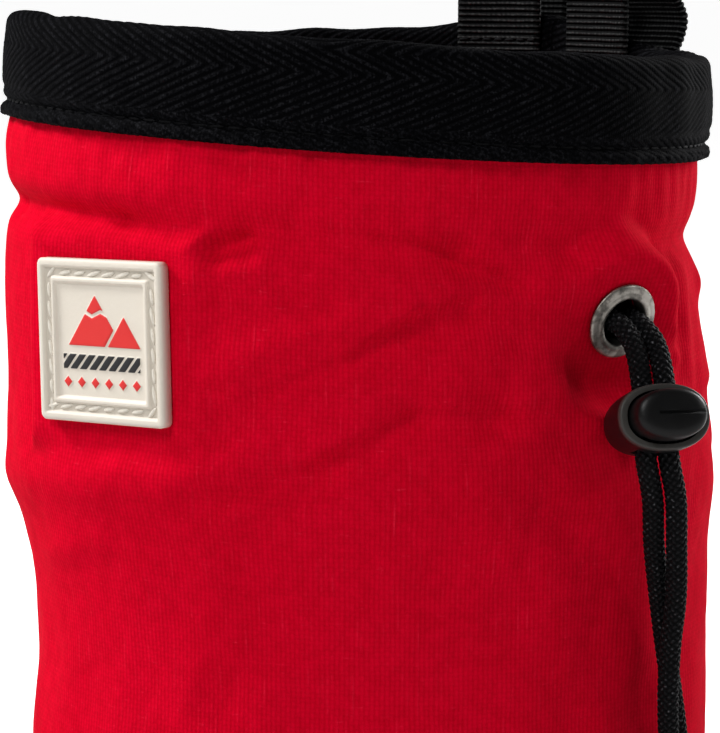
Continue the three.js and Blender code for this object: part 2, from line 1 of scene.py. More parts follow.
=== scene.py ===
"""A climbing chalk bag of crimson canvas, standing on a pale floor.

Everything is in metres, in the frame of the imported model: +Z up, the origin on the surface that the
bag stands on. A turn is an angle round the bag in degrees, seen from above: 0 is the front, at the
label, and 90 is the side with the eyelet. A share is a length divided by the size it follows.
"""

import math

import bpy
import numpy as np
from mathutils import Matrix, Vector


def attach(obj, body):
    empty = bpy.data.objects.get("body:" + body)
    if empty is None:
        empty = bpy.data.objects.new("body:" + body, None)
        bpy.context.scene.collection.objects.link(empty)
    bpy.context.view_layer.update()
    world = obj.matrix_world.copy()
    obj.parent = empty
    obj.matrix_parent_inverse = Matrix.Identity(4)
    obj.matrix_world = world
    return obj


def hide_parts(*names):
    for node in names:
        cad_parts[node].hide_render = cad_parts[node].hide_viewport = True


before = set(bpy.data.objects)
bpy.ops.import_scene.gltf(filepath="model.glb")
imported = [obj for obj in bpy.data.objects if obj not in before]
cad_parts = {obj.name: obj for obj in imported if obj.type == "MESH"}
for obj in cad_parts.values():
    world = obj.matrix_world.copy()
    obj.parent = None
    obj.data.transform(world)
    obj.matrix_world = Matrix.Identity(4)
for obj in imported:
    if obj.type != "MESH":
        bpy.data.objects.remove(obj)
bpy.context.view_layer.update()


# Floor, lamps and camera
# The bag stands on a plain pale floor in soft studio light: a large lamp high at the left, a weaker
# one in front, a small one at the right, and one behind that rims the cloth. The floor is lit from
# below away from the bag and behind it. The camera is a long lens half a metre away.

camera_turn = 45  # between the label and the eyelet
camera_distance = 0.560
camera_height = 0.164
camera_dip = 7.2  # degrees below level
camera_lens = 159.7  # millimetres, on a frame 36 mm high

camera_data = bpy.data.cameras.new("camera")
camera_data.sensor_fit = "VERTICAL"
camera_data.sensor_height = 36
camera_data.sensor_width = 36
camera_data.lens = camera_lens
camera_data.clip_start = 0.01
camera = bpy.data.objects.new("camera", camera_data)
bpy.context.scene.collection.objects.link(camera)
camera.location = (
    camera_distance * math.sin(math.radians(camera_turn)),
    -camera_distance * math.cos(math.radians(camera_turn)),
    camera_height,
)
camera.rotation_euler = (math.radians(90 - camera_dip), 0, math.radians(camera_turn))
bpy.context.scene.camera = camera
bpy.context.scene.view_settings.view_transform = "Standard"


def lamp(name, turn, height, distance, size, power):
    """A square soft lamp that faces the middle of the bag."""
    light = bpy.data.lights.new(name, "AREA")
    light.size = size
    light.energy = power
    placed = bpy.data.objects.new(name, light)
    bpy.context.scene.collection.objects.link(placed)
    angle = math.radians(turn)
    placed.location = (distance * math.sin(angle), -distance * math.cos(angle), height)
    middle = Vector((0, 0, 0.08))
    placed.rotation_euler = (placed.location - middle).to_track_quat("Z", "Y").to_euler()


lamp("key_lamp", turn=-58, height=0.85, distance=0.8, size=0.3, power=12.5)
lamp("front_lamp", turn=10, height=0.8, distance=0.8, size=0.35, power=5.6)
lamp("side_lamp", turn=125, height=0.4, distance=0.65, size=0.1, power=0.6)
lamp("rim_lamp", turn=176, height=0.45, distance=0.85, size=0.4, power=6.5)

world = bpy.data.worlds.new("studio")
world.use_nodes = True
world.node_tree.nodes["Background"].inputs["Color"].default_value = (1, 1, 1, 1)
world.node_tree.nodes["Background"].inputs["Strength"].default_value = 0.07
bpy.context.scene.world = world


def on_wires(operation, count=2, swapped=False):
    """A method that adds one Math node."""

    def act(self, *others):
        values = [self, *others][:count]
        if swapped:
            values.reverse()
        return self.tree.node("ShaderNodeMath", {"operation": operation}, values)

    return act


class Wire:
    """An output of a node, on which sums are written as plain expressions."""

    def __init__(self, tree, socket):
        self.tree = tree
        self.socket = socket

    __add__ = on_wires("ADD")
    __radd__ = on_wires("ADD", swapped=True)
    __sub__ = on_wires("SUBTRACT")
    __rsub__ = on_wires("SUBTRACT", swapped=True)
    __mul__ = on_wires("MULTIPLY")
    __rmul__ = on_wires("MULTIPLY", swapped=True)
    __truediv__ = on_wires("DIVIDE")
    __pow__ = on_wires("POWER")
    __abs__ = on_wires("ABSOLUTE", count=1)
    sine = on_wires("SINE", count=1)
    cosine = on_wires("COSINE", count=1)
    floor = on_wires("FLOOR", count=1)
    fraction = on_wires("FRACT", count=1)
    larger = on_wires("MAXIMUM")
    smaller = on_wires("MINIMUM")

    def ramp(self, low, high):
        """0 below low, 1 above high, and a soft step between them."""
        values = {"Value": self, "From Min": low, "From Max": high}
        return self.tree.node("ShaderNodeMapRange", {"interpolation_type": "SMOOTHSTEP"}, values)


class Tree:
    """A node tree that is filled by one method."""

    def __init__(self, nodes):
        self.nodes = nodes

    def node(self, kind, settings=(), values=(), output=0):
        """Adds a node: its settings first, then the values or wires of its sockets."""
        added = self.nodes.nodes.new(kind)
        for name, setting in dict(settings).items():
            setattr(added, name, setting)
        pairs = values.items() if isinstance(values, dict) else enumerate(values)
        for name, value in pairs:
            self.put(added.inputs[name], value)
        return Wire(self, added.outputs[output])

    def put(self, socket, value):
        if isinstance(value, Wire):
            self.nodes.links.new(value.socket, socket)
        else:
            socket.default_value = value


class Finish(Tree):
    """A material around one Principled shader. Constants go straight to the shader's sockets."""

    def __init__(self, name, **constants):
        self.material = bpy.data.materials.new(name)
        self.material.use_nodes = True
        super().__init__(self.material.node_tree)
        self.shader = self.nodes.nodes["Principled BSDF"]
        for socket, value in constants.items():
            self.shader.inputs[socket.replace("_", " ")].default_value = value

    def surface(self):
        """The two coordinates on the surface, in metres unless the piece says otherwise."""
        marks = self.node("ShaderNodeTexCoord", output="UV")
        return self.split(marks)[:2]

    def place(self):
        return self.node("ShaderNodeTexCoord", output="Object")

    def split(self, vector):
        parts = [self.node("ShaderNodeSeparateXYZ", values=[vector], output=i) for i in range(3)]
        return parts

    def join(self, x, y, z=0.0):
        return self.node("ShaderNodeCombineXYZ", values=[x, y, z])

    def noise(self, vector, scale, detail=2.0, roughness=0.5):
        values = {"Vector": vector, "Scale": scale, "Detail": detail, "Roughness": roughness}
        return self.node("ShaderNodeTexNoise", values=values)

    def blend(self, share, low, high):
        """A colour between two others."""
        values = {0: share, 6: low, 7: high}
        return self.node("ShaderNodeMix", {"data_type": "RGBA"}, values, output=2)

    def finish(self, colour, roughness, relief, depth):
        """Feeds the shader. relief is 0 to 1, and depth is its height in metres."""
        self.put(self.shader.inputs["Base Color"], colour)
        self.put(self.shader.inputs["Roughness"], roughness)
        values = {"Height": relief, "Distance": depth, "Strength": 1.0}
        bump = self.node("ShaderNodeBump", values=values)
        self.put(self.shader.inputs["Normal"], bump)
        return self.material


def add_object(name, mesh, material):
    """A new object at the origin, with its place in its mesh."""
    made = bpy.data.objects.new(name, mesh)
    bpy.context.scene.collection.objects.link(made)
    if material:
        mesh.materials.clear()
        mesh.materials.append(material)
    mesh.shade_smooth()
    return made


def floor_finish():
    paint = Finish("floor_paint", Specular_IOR_Level=0.1, Emission_Strength=1.0)
    x, y, _ = paint.split(paint.place())
    far = ((x * x + y * y) ** 0.5).ramp(0.12, 0.6)
    view = math.radians(camera_turn)
    behind = (y * math.cos(view) - x * math.sin(view)).ramp(0.02, 0.15)
    glow = paint.blend((far * 0.35).larger(behind), (0.12, 0.12, 0.12, 1), (0.93, 0.93, 0.93, 1))
    paint.put(paint.shader.inputs["Emission Color"], glow)
    speckle = paint.noise(paint.place(), 60)
    colour = paint.blend(speckle, (0.56, 0.56, 0.56, 1), (0.6, 0.6, 0.6, 1))
    return paint.finish(colour, 0.85, speckle, 0.00002)


floor_reach = 14.0
floor_mesh = bpy.data.meshes.new("floor")
floor_corners = [(x, y, 0) for x, y in ((-1, -1), (1, -1), (1, 1), (-1, 1))]
floor_mesh.from_pydata([tuple(floor_reach * c for c in p) for p in floor_corners], [], [range(4)])
floor = add_object("floor", floor_mesh, floor_finish())


# Drawcord
# One braided cord in the bag's channel: its two ends leave the eyelet, run through the toggle and
# hang side by side, with half a turn round each other, down to the knot that ties them together.

bag_radius = 0.0594
bag_height = 0.1504
cord_diameter = 0.0034
cord_spacing = 0.0037  # between the middles of the two strands
braid_yarns = 8  # each way round
braid_pick = 0.0012  # length of cord from one yarn to the next
braid_depth = 0.00034
cord_step = 0.00016
cord_sides = 56

# turn, distance beyond the bag's radius, share of its height, twist of the pair in degrees
cord_route = [
    (91.0, -0.0025, 0.7093, 12),
    (90.6, -0.00045, 0.7048, 12),
    (90.15, 0.0018, 0.6998, 14),
    (89.8, 0.0049, 0.682, 26),
    (88.4, 0.0082, 0.643, 35),
    (87.6, 0.0096, 0.6046, 35),
    (86.85, 0.011, 0.567, 35),
    (88.3, 0.0109, 0.524, 42),
    (90.1, 0.0094, 0.47, 64),
    (92.3, 0.0079, 0.412, 95),
    (93.5, 0.007, 0.359, 128),
    (94.7, 0.0065, 0.306, 152),
    (96.0, 0.0062, 0.253, 168),
    (96.7, 0.0061, 0.2, 176),
    (97.0, 0.0062, 0.162, 180),
]
toggle_row = 5


def polar(turn, radius, height):
    """Points at a turn, a distance from the bag's middle line and a height."""
    angle = np.radians(turn)
    return np.stack(
        np.broadcast_arrays(radius * np.sin(angle), -radius * np.cos(angle), height), -1
    ).astype(float)


def pair_at(row):
    """Middle of the two strands at one row of the route, and the way from one to the other."""
    turn, out, at, twist = row
    middle = polar(turn, bag_radius + out, at * bag_height)
    angle = math.radians(twist)
    across = math.cos(angle) * polar(turn + 90, 1, 0) + math.sin(angle) * polar(turn, 1, 0)
    return middle, across


def evenly(line, step):
    """The same line with its points a step apart."""
    lengths = np.concatenate([[0], np.cumsum(np.linalg.norm(np.diff(line, axis=0), axis=1))])
    places = np.linspace(0, lengths[-1], max(int(round(lengths[-1] / step)), 2) + 1)
    return np.stack([np.interp(places, lengths, column) for column in line.T], -1)


def smooth_line(points, step):
    """Evenly spaced points on the smooth curve through the given ones."""
    points = np.asarray(points, float)
    points = np.vstack([2 * points[0] - points[1], points, 2 * points[-1] - points[-2]])
    t = np.linspace(0, 1, 40, endpoint=False)[:, None]
    fine = []
    for p0, p1, p2, p3 in zip(points, points[1:], points[2:], points[3:]):
        d0, d1, d2 = (np.linalg.norm(b - a) ** 0.5 for a, b in ((p0, p1), (p1, p2), (p2, p3)))
        leave = ((p1 - p0) / d0 - (p2 - p0) / (d0 + d1) + (p2 - p1) / d1) * d1
        arrive = ((p2 - p1) / d1 - (p3 - p1) / (d1 + d2) + (p3 - p2) / d2) * d1
        start = (2 * t**3 - 3 * t**2 + 1) * p1 + (t**3 - 2 * t**2 + t) * leave
        fine.append(start + (3 * t**2 - 2 * t**3) * p2 + (t**3 - t**2) * arrive)
    return evenly(np.vstack([*fine, points[-2:-1]]), step)


def length_of(line):
    return float(np.linalg.norm(np.diff(line, axis=0), axis=1).sum())


def skin(name, points, marks, material, around=True, ringed=False, capped=True):
    """A mesh through rows of points, with surface coordinates. Where it closes on itself, marks
    has one more row or column than points."""
    rows, columns = points.shape[:2]
    i, j = np.meshgrid(
        np.arange(rows if ringed else rows - 1),
        np.arange(columns if around else columns - 1),
        indexing="ij",
    )
    steps = ((0, 0), (0, 1), (1, 1), (1, 0))
    quads = np.stack([((i + a) % rows) * columns + (j + b) % columns for a, b in steps], -1)
    spots = np.stack([marks[i + a, j + b] for a, b in steps], -2)
    faces = quads.reshape(-1, 4).tolist()
    uv = [spots.reshape(-1, 2)]
    vertices = points.reshape(-1, 3)
    if around and capped and not ringed:
        for end, order in ((0, (1, 0)), (rows - 1, (0, 1))):
            middle = len(vertices)
            vertices = np.vstack([vertices, points[end].mean(0)])
            for column in range(columns):
                pair = [column + order[0], column + order[1]]
                faces.append([end * columns + p % columns for p in pair] + [middle])
                uv.append(np.stack([marks[end, p] for p in pair] + [marks[end, column]]))
    corners = vertices[quads.reshape(-1, 4)]
    inward = np.einsum("ij,ij->i", corners[:, 0], np.cross(corners[:, 1], corners[:, 2])).sum()
    inward += np.einsum("ij,ij->i", corners[:, 0], np.cross(corners[:, 2], corners[:, 3])).sum()
    mesh = bpy.data.meshes.new(name)
    mesh.from_pydata(vertices.tolist(), [], faces)
    layer = mesh.uv_layers.new(name="surface")
    layer.data.foreach_set("uv", np.vstack(uv).astype(np.float32).ravel())
    if inward < 0:
        mesh.flip_normals()
    return add_object(name, mesh, material)


def frames_along(line):
    """Two directions square to a line at each of its points, with no twist between them."""
    tangents = np.gradient(line, axis=0)
    tangents /= np.linalg.norm(tangents, axis=1)[:, None]
    side = np.cross(tangents[0], (0.3, 0.2, 1))
    sides = []
    for tangent in tangents:
        side = side - tangent * (side @ tangent)
        side = side / np.linalg.norm(side)
        sides.append(side)
    sides = np.array(sides)
    return sides, np.cross(tangents, sides)


def braid_relief(around, along):
    """Height of the braid's yarns, 0 to 1. around is a share of the turn, along is in metres."""
    right = braid_yarns * around + along / braid_pick
    left = braid_yarns * around - along / braid_pick
    right_over = np.cos(np.pi * (left - 0.5 + np.floor(right)))
    left_over = -np.cos(np.pi * (right - 0.5 + np.floor(left)))
    crowns = [np.sin(np.pi * (yarn % 1)) ** 0.7 for yarn in (right, left)]
    return np.maximum(crowns[0] * (0.6 + 0.4 * right_over), crowns[1] * (0.6 + 0.4 * left_over))


def braided_tube(name, line, diameter, material):
    """A braided cord along a line, with melted round ends."""
    sides, ups = frames_along(line)
    around = np.linspace(0, 1, cord_sides, endpoint=False)
    along = np.arange(len(line)) * length_of(line) / (len(line) - 1)
    reach = diameter / 2 + braid_depth * (braid_relief(around[None], along[:, None]) - 0.72)
    from_end = np.minimum(along, along[-1] - along) / (0.6 * diameter)
    reach = reach * np.sqrt(1 - (1 - np.clip(from_end, 0.03, 1)) ** 2)[:, None]
    angle = 2 * np.pi * around[None, :, None]
    turned = np.cos(angle) * sides[:, None] + np.sin(angle) * ups[:, None]
    points = line[:, None] + reach[..., None] * turned
    shares = np.linspace(0, 1, cord_sides + 1)
    marks = np.stack(np.meshgrid(shares, along), -1)
    return skin(name, points, marks, material)


def braid_finish():
    braid = Finish("black_braid", Specular_IOR_Level=0.08)
    around, along = braid.surface()
    right = around * braid_yarns + along / braid_pick
    left = around * braid_yarns - along / braid_pick
    right_over = ((left - 0.5 + right.floor()) * math.pi).cosine()
    left_over = ((right - 0.5 + left.floor()) * math.pi).cosine() * -1
    right_crown = (right.fraction() * math.pi).sine() * (0.6 + 0.4 * right_over)
    left_crown = (left.fraction() * math.pi).sine() * (0.6 + 0.4 * left_over)
    crown = right_crown.larger(left_crown)
    on_right = (right_crown - left_crown).ramp(-0.05, 0.05)
    grain_across = on_right * left + (1 - on_right) * right
    fibres = (grain_across * 7 * math.pi).sine() * 0.5 + 0.5
    # painted highlights: the yarn crowns are painted light grey in scattered spots, standing in for glints
    # on the filament yarns
    glint_spots = braid.noise(braid.place(), 1500, 3, 0.6).ramp(0.54, 0.72)
    lit = crown.ramp(0.6, 1.0) * (0.07 + 0.93 * glint_spots)
    colour = braid.blend(lit, (0.0011, 0.0011, 0.0015, 1), (0.1, 0.1, 0.108, 1))
    return braid.finish(colour, 0.62 - 0.15 * lit, crown * 0.75 + fibres * 0.12, 0.00022)


black_braid = braid_finish()
strands = []
for strand_name, strand_side in (("drawcord_left", -0.5), ("drawcord_right", 0.5)):
    strand_points = []
    for route_row in cord_route:
        pair_middle, pair_across = pair_at(route_row)
        strand_points.append(pair_middle + strand_side * cord_spacing * pair_across)
    strand_line = smooth_line(strand_points, cord_step)
    strand = braided_tube(strand_name, strand_line, cord_diameter, black_braid)
    strands.append((strand, strand_line))


# Knot
# The two strands are tied under the toggle in one wrapped overhand knot of the same cord, and
# leave it as two short tails with melted ends. Nothing else holds it.

knot_length = 0.009
knot_radius = 0.0047
tail_length = 0.008
knot_cord = 0.0031  # the cord is squeezed here
knot_turns = 2.15

knot_middle, knot_across = pair_at(cord_route[-1])
knot_level = knot_middle[2] - 0.0003
wrap_radius = knot_radius - knot_cord / 2
wrap_angles = np.linspace(0, 2 * math.pi * knot_turns, 22)
wrap_drop = np.linspace(knot_cord * 0.6, knot_length - knot_cord * 0.55, len(wrap_angles))
wrap_points = [
    knot_middle[:2].tolist() + [knot_level - 0.0006],
    *[
        (
            knot_middle[0] + wrap_radius * math.cos(angle),
            knot_middle[1] + wrap_radius * math.sin(angle),
            knot_level - drop,
        )
        for angle, drop in zip(wrap_angles, wrap_drop)
    ],
    knot_middle[:2].tolist() + [knot_level - knot_length + 0.001],
]
knot_pieces = [
    braided_tube("cord_knot", smooth_line(wrap_points, cord_step), knot_cord, black_braid)
]
for tail_side in (-1, 1):
    tail_start = knot_middle + tail_side * cord_spacing / 2 * knot_across
    tail_start[2] = knot_level - 0.6 * knot_length
    tail_end = tail_start + tail_side * 0.0013 * knot_across
    tail_end[2] = knot_level - knot_length - tail_length + 0.0004
    tail_bend = (tail_start + tail_end) / 2 + tail_side * 0.0004 * knot_across
    tail_line = smooth_line([tail_start, tail_bend, tail_end], cord_step)
    knot_pieces.append(braided_tube("tail", tail_line, cord_diameter * 0.96, black_braid))


def merged(pieces):
    """Several pieces as one object with the first one's name."""
    bpy.ops.object.select_all(action="DESELECT")
    for piece in pieces:
        piece.select_set(True)
    bpy.context.view_layer.objects.active = pieces[0]
    bpy.ops.object.join()
    return pieces[0]


cord_knot = merged(knot_pieces)
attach(cord_knot, "bag")
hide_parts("cord_knot")


# Wall
# A tube of crimson canvas with its lining, 3 mm thick together, soft enough to fold under its own
# weight. A crease runs round it under the rim, and slanting folds cross its belly. It is shaped
# from the same sections and folds as the solid, with the small puckers of its seams.

wall_thickness = 0.003
rim_drop = 0.0039
rim_drop_turn = 135
base_corner = 0.004
seat_gap = 0.0003
tape_thickness = 0.0012
binding_depth = 0.0164
label_width = 0.027
label_height = 0.0262
label_turn = 3
label_rise = 0.103
label_yaw = 3
label_sink = 0.0007
eyelet_turn = 90.6
eyelet_rise = 0.106
eyelet_radius = 0.0064
eyelet_yaw = -12
eyelet_pitch = -18
channel_depth = 0.0019
wall_columns = 440
lining_rows = 26
weave_threads = 466  # round the bag
weave_pitch = 0.0008

# where the straps pull the rim up and where it sags: turn, rise, spread in degrees
rim_lifts = [
    (188, 0.0042, 20),
    (258, -0.0029, 30),
    (298, -0.0013, 16),
]

# share of the height, radius and sideways shift as shares of the bag's radius
sections = np.array([
    (0.0, 0.975, 0.02),
    (0.06, 0.985, 0.022),
    (0.2, 0.99, 0.026),
    (0.3, 0.98, 0.037),
    (0.38, 0.986, 0.032),
    (0.44, 1.0, 0.018),
    (0.52, 1.028, 0.005),
    (0.6, 1.015, -0.006),
    (0.69, 1.007, -0.02),
    (0.75, 0.996, -0.028),
    (0.8, 0.984, -0.025),
    (0.86, 0.995, -0.026),
    (0.91, 0.985, -0.012),
    (1.0, 0.983, -0.004),
])

# turn and share of the height at each end of a fold, its push and its spread, shares of the radius
folds = [
    (-29, 0.823, 30, 0.832, 0.014, 0.07),
    (-30, 0.797, 5, 0.796, -0.028, 0.046),
    (5, 0.796, 26, 0.782, -0.026, 0.046),
    (28, 0.795, 60, 0.789, -0.02, 0.05),
    (60, 0.789, 71, 0.758, -0.02, 0.045),
    (72, 0.8, 98, 0.793, -0.014, 0.05),
    (98, 0.793, 145, 0.798, -0.024, 0.055),
    (19, 0.757, 29, 0.76, 0.013, 0.065),
    (19, 0.718, 40, 0.736, -0.012, 0.08),
    (23, 0.661, 58, 0.748, 0.014, 0.065),
    (30, 0.645, 60, 0.73, -0.018, 0.055),
    (62, 0.728, 84, 0.676, -0.014, 0.055),
    (48, 0.636, 64, 0.667, 0.013, 0.065),
    (39, 0.555, 53, 0.622, -0.018, 0.06),
    (53, 0.622, 67, 0.622, -0.018, 0.06),
    (67, 0.622, 86, 0.577, -0.016, 0.07),
    (-44, 0.484, 25, 0.545, 0.018, 0.08),
    (21, 0.522, 48, 0.572, -0.019, 0.048),
    (74, 0.505, 78, 0.495, -0.02, 0.1),
    (83, 0.38, 81, 0.2, -0.013, 0.09),
    (94, 0.36, 94, 0.46, 0.012, 0.1),
    (104, 0.765, 109, 0.7, -0.014, 0.045),
    (113, 0.76, 113, 0.66, 0.012, 0.055),
    (130, 0.742, 140, 0.742, 0.018, 0.05),
    (145, 0.798, 205, 0.796, -0.02, 0.05),
    (205, 0.796, 262, 0.801, -0.023, 0.05),
    (262, 0.801, 330, 0.797, -0.025, 0.038),
    (165, 0.838, 222, 0.832, 0.012, 0.07),
    (150, 0.66, 190, 0.6, -0.018, 0.065),
    (190, 0.6, 222, 0.635, -0.016, 0.06),
    (158, 0.545, 205, 0.5, 0.016, 0.085),
    (225, 0.7, 262, 0.64, -0.017, 0.065),
    (232, 0.745, 268, 0.69, 0.013, 0.065),
    (250, 0.52, 300, 0.47, -0.018, 0.065),
    (270, 0.57, 300, 0.53, 0.015, 0.075),
    (215, 0.4, 218, 0.22, -0.014, 0.09),
    (286, 0.36, 280, 0.18, -0.012, 0.09),
    (140, 0.34, 143, 0.17, -0.012, 0.09),
]


# sharp creases: turn and share of the height at each end, rise, and spread above and below it
creases = [
    (-34, 0.806, 3, 0.799, -0.0007, 0.0018, 0.0014),
    (2, 0.799, 16, 0.790, -0.0007, 0.0018, 0.0014),
    (15, 0.793, 22.5, 0.773, -0.0008, 0.0022, 0.0013),
    (21.5, 0.771, 28, 0.8, -0.0012, 0.0015, 0.0015),
    (15, 0.757, 27, 0.762, 0.0005, 0.0022, 0.003),
    (27, 0.809, 43, 0.804, -0.0005, 0.002, 0.002),
    (42, 0.804, 56, 0.793, -0.0006, 0.0016, 0.0015),
    (55, 0.794, 69.5, 0.758, -0.0011, 0.0011, 0.0016),
    (32, 0.738, 42, 0.731, -0.0007, 0.0014, 0.0016),
    (25, 0.628, 43.7, 0.687, 0.0010, 0.0045, 0.0012),
    (42.5, 0.684, 53.5, 0.737, 0.0014, 0.0042, 0.0011),
    (52, 0.733, 62, 0.748, 0.0008, 0.0036, 0.0015),
    (37, 0.573, 53, 0.632, 0.0010, 0.0042, 0.0014),
    (51.5, 0.63, 73, 0.633, 0.0008, 0.0038, 0.0015),
    (24, 0.53, 42, 0.534, -0.0008, 0.0018, 0.0012),
    (94, 0.764, 104, 0.696, 0.0007, 0.0010, 0.0022),
    (102, 0.704, 108, 0.664, 0.0007, 0.0010, 0.0022),
    (-20, 0.42, 2, 0.455, 0.0007, 0.004, 0.0015),
    (118, 0.62, 142, 0.655, 0.0008, 0.004, 0.0014),
    (128, 0.54, 150, 0.51, -0.0007, 0.0016, 0.0014),
    (152, 0.72, 176, 0.69, 0.0008, 0.0038, 0.0014),
    (190, 0.74, 214, 0.76, -0.0007, 0.0015, 0.0015),
    (205, 0.6, 232, 0.57, 0.0008, 0.004, 0.0014),
    (240, 0.66, 262, 0.69, 0.0010, 0.004, 0.0013),
    (252, 0.5, 276, 0.52, -0.0007, 0.0016, 0.0014),
    (285, 0.64, 306, 0.61, 0.0008, 0.0038, 0.0014),
    (288, 0.76, 318, 0.785, -0.0007, 0.0016, 0.0014),
]


def read(rows, column, at):
    """A smooth curve through one column of a table whose rows are in order of their first."""
    low = np.clip(np.searchsorted(rows[:, 0], at) - 1, 0, len(rows) - 2)
    high = low + 1
    before = np.maximum(low - 1, 0)
    after = np.minimum(low + 2, len(rows) - 1)
    places = rows[:, 0]
    values = rows[:, column]
    span = places[high] - places[low]
    t = np.clip((at - places[low]) / span, 0, 1)
    leave = span * (values[high] - values[before]) / (places[high] - places[before])
    arrive = span * (values[after] - values[low]) / (places[after] - places[low])
    start = (2 * t**3 - 3 * t**2 + 1) * values[low] + (t**3 - 2 * t**2 + t) * leave
    return start + (3 * t**2 - 2 * t**3) * values[high] + (t**3 - t**2) * arrive


def turn_from(turn, other):
    """Signed difference of two turns."""
    return (turn - other + 180) % 360 - 180


def rim_top(turn):
    """Height of the top of the rim."""
    top = bag_height - rim_drop * np.cos(np.radians(turn - rim_drop_turn))
    for lift_turn, rise, spread in rim_lifts:
        top = top + rise * np.exp(-((turn_from(turn, lift_turn) / spread) ** 2))
    return top


def soft_step(value, low, high):
    t = np.clip((value - low) / (high - low), 0, 1)
    return t * t * (3 - 2 * t)


def arc(degrees):
    """Length of a turn at the bag's radius."""
    return np.radians(degrees) * bag_radius


def beside(turn, height, line):
    """Where a place is beside a line on the cloth: how far along from the line's middle, with 1 at
    its end, how far above it, and half the line's length."""
    start_turn, start, end_turn, end = line
    top = rim_top(turn)
    across = arc(turn_from(turn, (start_turn + end_turn) / 2))
    up = height - (start + end) / 2 * top
    half_across = arc((end_turn - start_turn) / 2)
    half_up = (end - start) / 2 * top
    half = np.hypot(half_across, half_up)
    along = np.abs(across * half_across + up * half_up) / half**2
    return along, (up * half_across - across * half_up) / half, half


def fold_relief(turn, height):
    """How far the folds move the cloth."""
    relief = 0
    for *line, push, spread in folds:
        along, above, half = beside(turn, height, line)
        away = np.hypot(above, np.maximum(along - 1, 0) * half)
        relief = relief + push * bag_radius * np.exp(-((away / (spread * bag_radius)) ** 2))
    return relief


def crease_relief(turn, height):
    """How far the creases move the cloth. Most are soft on one side and steep on the other."""
    relief = 0
    for *line, rise, spread_above, spread_below in creases:
        along, above, _ = beside(turn, height, line)
        away = np.abs(above) / np.where(above > 0, spread_above, spread_below)
        relief = relief + rise * (1 - soft_step(along, 0.7, 1.3)) * np.exp(-(away**1.5))
    return relief


def ripples(turn, height, seed, count, waves, rise):
    """Small even waves of the cloth, -1 to 1: waves round the bag and their height range."""
    chance = np.random.default_rng(seed)
    total = 0
    for _ in range(count):
        around = chance.integers(*waves)
        up = chance.uniform(-1, 1) * 2 * math.pi / rise
        start = chance.uniform(0, 2 * math.pi)
        total = total + np.cos(np.radians(turn) * around + height * up + start)
    return total / math.sqrt(count) / 1.6


def label_away(turn, height):
    """1 on the label's edge, less inside it."""
    across = np.abs(arc(turn_from(turn, label_turn))) / label_width
    return np.maximum(across, np.abs(height - label_rise) / label_height)


def eyelet_away(turn, height):
    """Distance from the eyelet's middle in eyelet radii."""
    across = arc(turn_from(turn, eyelet_turn))
    return np.hypot(across, height - eyelet_rise) / eyelet_radius


def smooth_radius(turn, height):
    """Radius of the cloth without its folds."""
    at = height / rim_top(turn)
    sway = read(sections, 2, at) * np.cos(np.radians(turn - rim_drop_turn))
    corner = np.clip(1 - height / base_corner, 0, 1)
    cut = base_corner * (1 - np.sqrt(1 - corner**2))
    return bag_radius * (read(sections, 1, at) + sway) - cut


class Seat:
    """A place where the cloth is drawn flat: its middle, and the three ways of its own frame."""

    def __init__(self, turn, rise, sink, yaw, pitch):
        self.middle = polar(turn, smooth_radius(turn, rise) - sink, rise)
        facing = polar(turn + yaw, 1, math.tan(math.radians(pitch)))
        self.out = facing / np.linalg.norm(facing)
        side = np.cross((0, 0, 1), self.out)
        self.side = side / np.linalg.norm(side)
        self.up = np.cross(self.out, self.side)

    def radius(self, turn, height):
        """Radius at which a level line from the bag's middle meets the flat."""
        across = polar(turn, 1, 0) @ self.out
        return (self.middle @ self.out - height * self.out[2]) / across

    def place(self, x, y, lift):
        """Points on the flat, from its middle."""
        parts = np.broadcast_arrays(x, y, lift)
        axes = (self.side, self.up, self.out)
        return self.middle + sum(part[..., None] * axis for part, axis in zip(parts, axes))


label_seat = Seat(label_turn, label_rise, label_sink, label_yaw, 0)
eyelet_seat = Seat(eyelet_turn, eyelet_rise, 0, eyelet_yaw, eyelet_pitch)


def small_wrinkles(turn, height):
    """Puckers and waves that are too fine for the table of folds."""
    hem = rim_top(turn) - binding_depth
    below_hem = np.clip((hem - height) / 0.007, 0, 9)
    pucker = 0.00032 * np.exp(-below_hem) * ripples(turn, height, 3, 9, (40, 75), 0.02)
    loose = 0.00022 * ripples(turn, height, 5, 14, (5, 30), 0.018)
    fine = 0.00007 * ripples(turn, height, 8, 20, (25, 80), 0.006)
    seam = 0.0003 * np.exp(-((height - 0.006) / 0.003) ** 2) * ripples(turn, height, 11, 9, (40, 80), 0.03)
    around = np.arctan2(height - eyelet_rise, arc(turn_from(turn, eyelet_turn)))
    drawn = np.exp(-(((eyelet_away(turn, height) - 2.1) / 1.0) ** 2))
    rays = 0.0003 * drawn * (np.cos(7 * around + 0.6) + 0.6 * np.cos(11 * around + 2.0))
    return pucker + loose + fine + seam + rays + crease_relief(turn, height)


def cloth_radius(turn, height, wrinkled=True):
    """Outer radius of the cloth."""
    relief = fold_relief(turn, height)
    if wrinkled:
        relief = relief + small_wrinkles(turn, height)
    radius = smooth_radius(turn, height) + relief
    for seat, away, low, high in (
        (label_seat, label_away(turn, height), 0.56, 0.8),
        (eyelet_seat, eyelet_away(turn, height), 1.5, 2.7),
    ):
        share = 1 - soft_step(away, low, high)
        flat = np.where(share > 0, seat.radius(turn, height), radius)
        radius = radius + share * (flat - radius)
    return radius


seam_turn = 184  # the cloth's own seam, at the back
wall_turns = seam_turn + np.linspace(0, 360, wall_columns, endpoint=False)
wall_marks_u = arc(np.linspace(0, 360, wall_columns + 1))
# the eyelet's middle in the canvas's surface coordinates, round which the cloth in its hole is painted
# near-black as painted shade
channel_mark = (
    float(arc((eyelet_turn - seam_turn) % 360)),
    float(eyelet_rise / (rim_top(eyelet_turn) - tape_thickness - seat_gap) * bag_height),
    0.0,
)


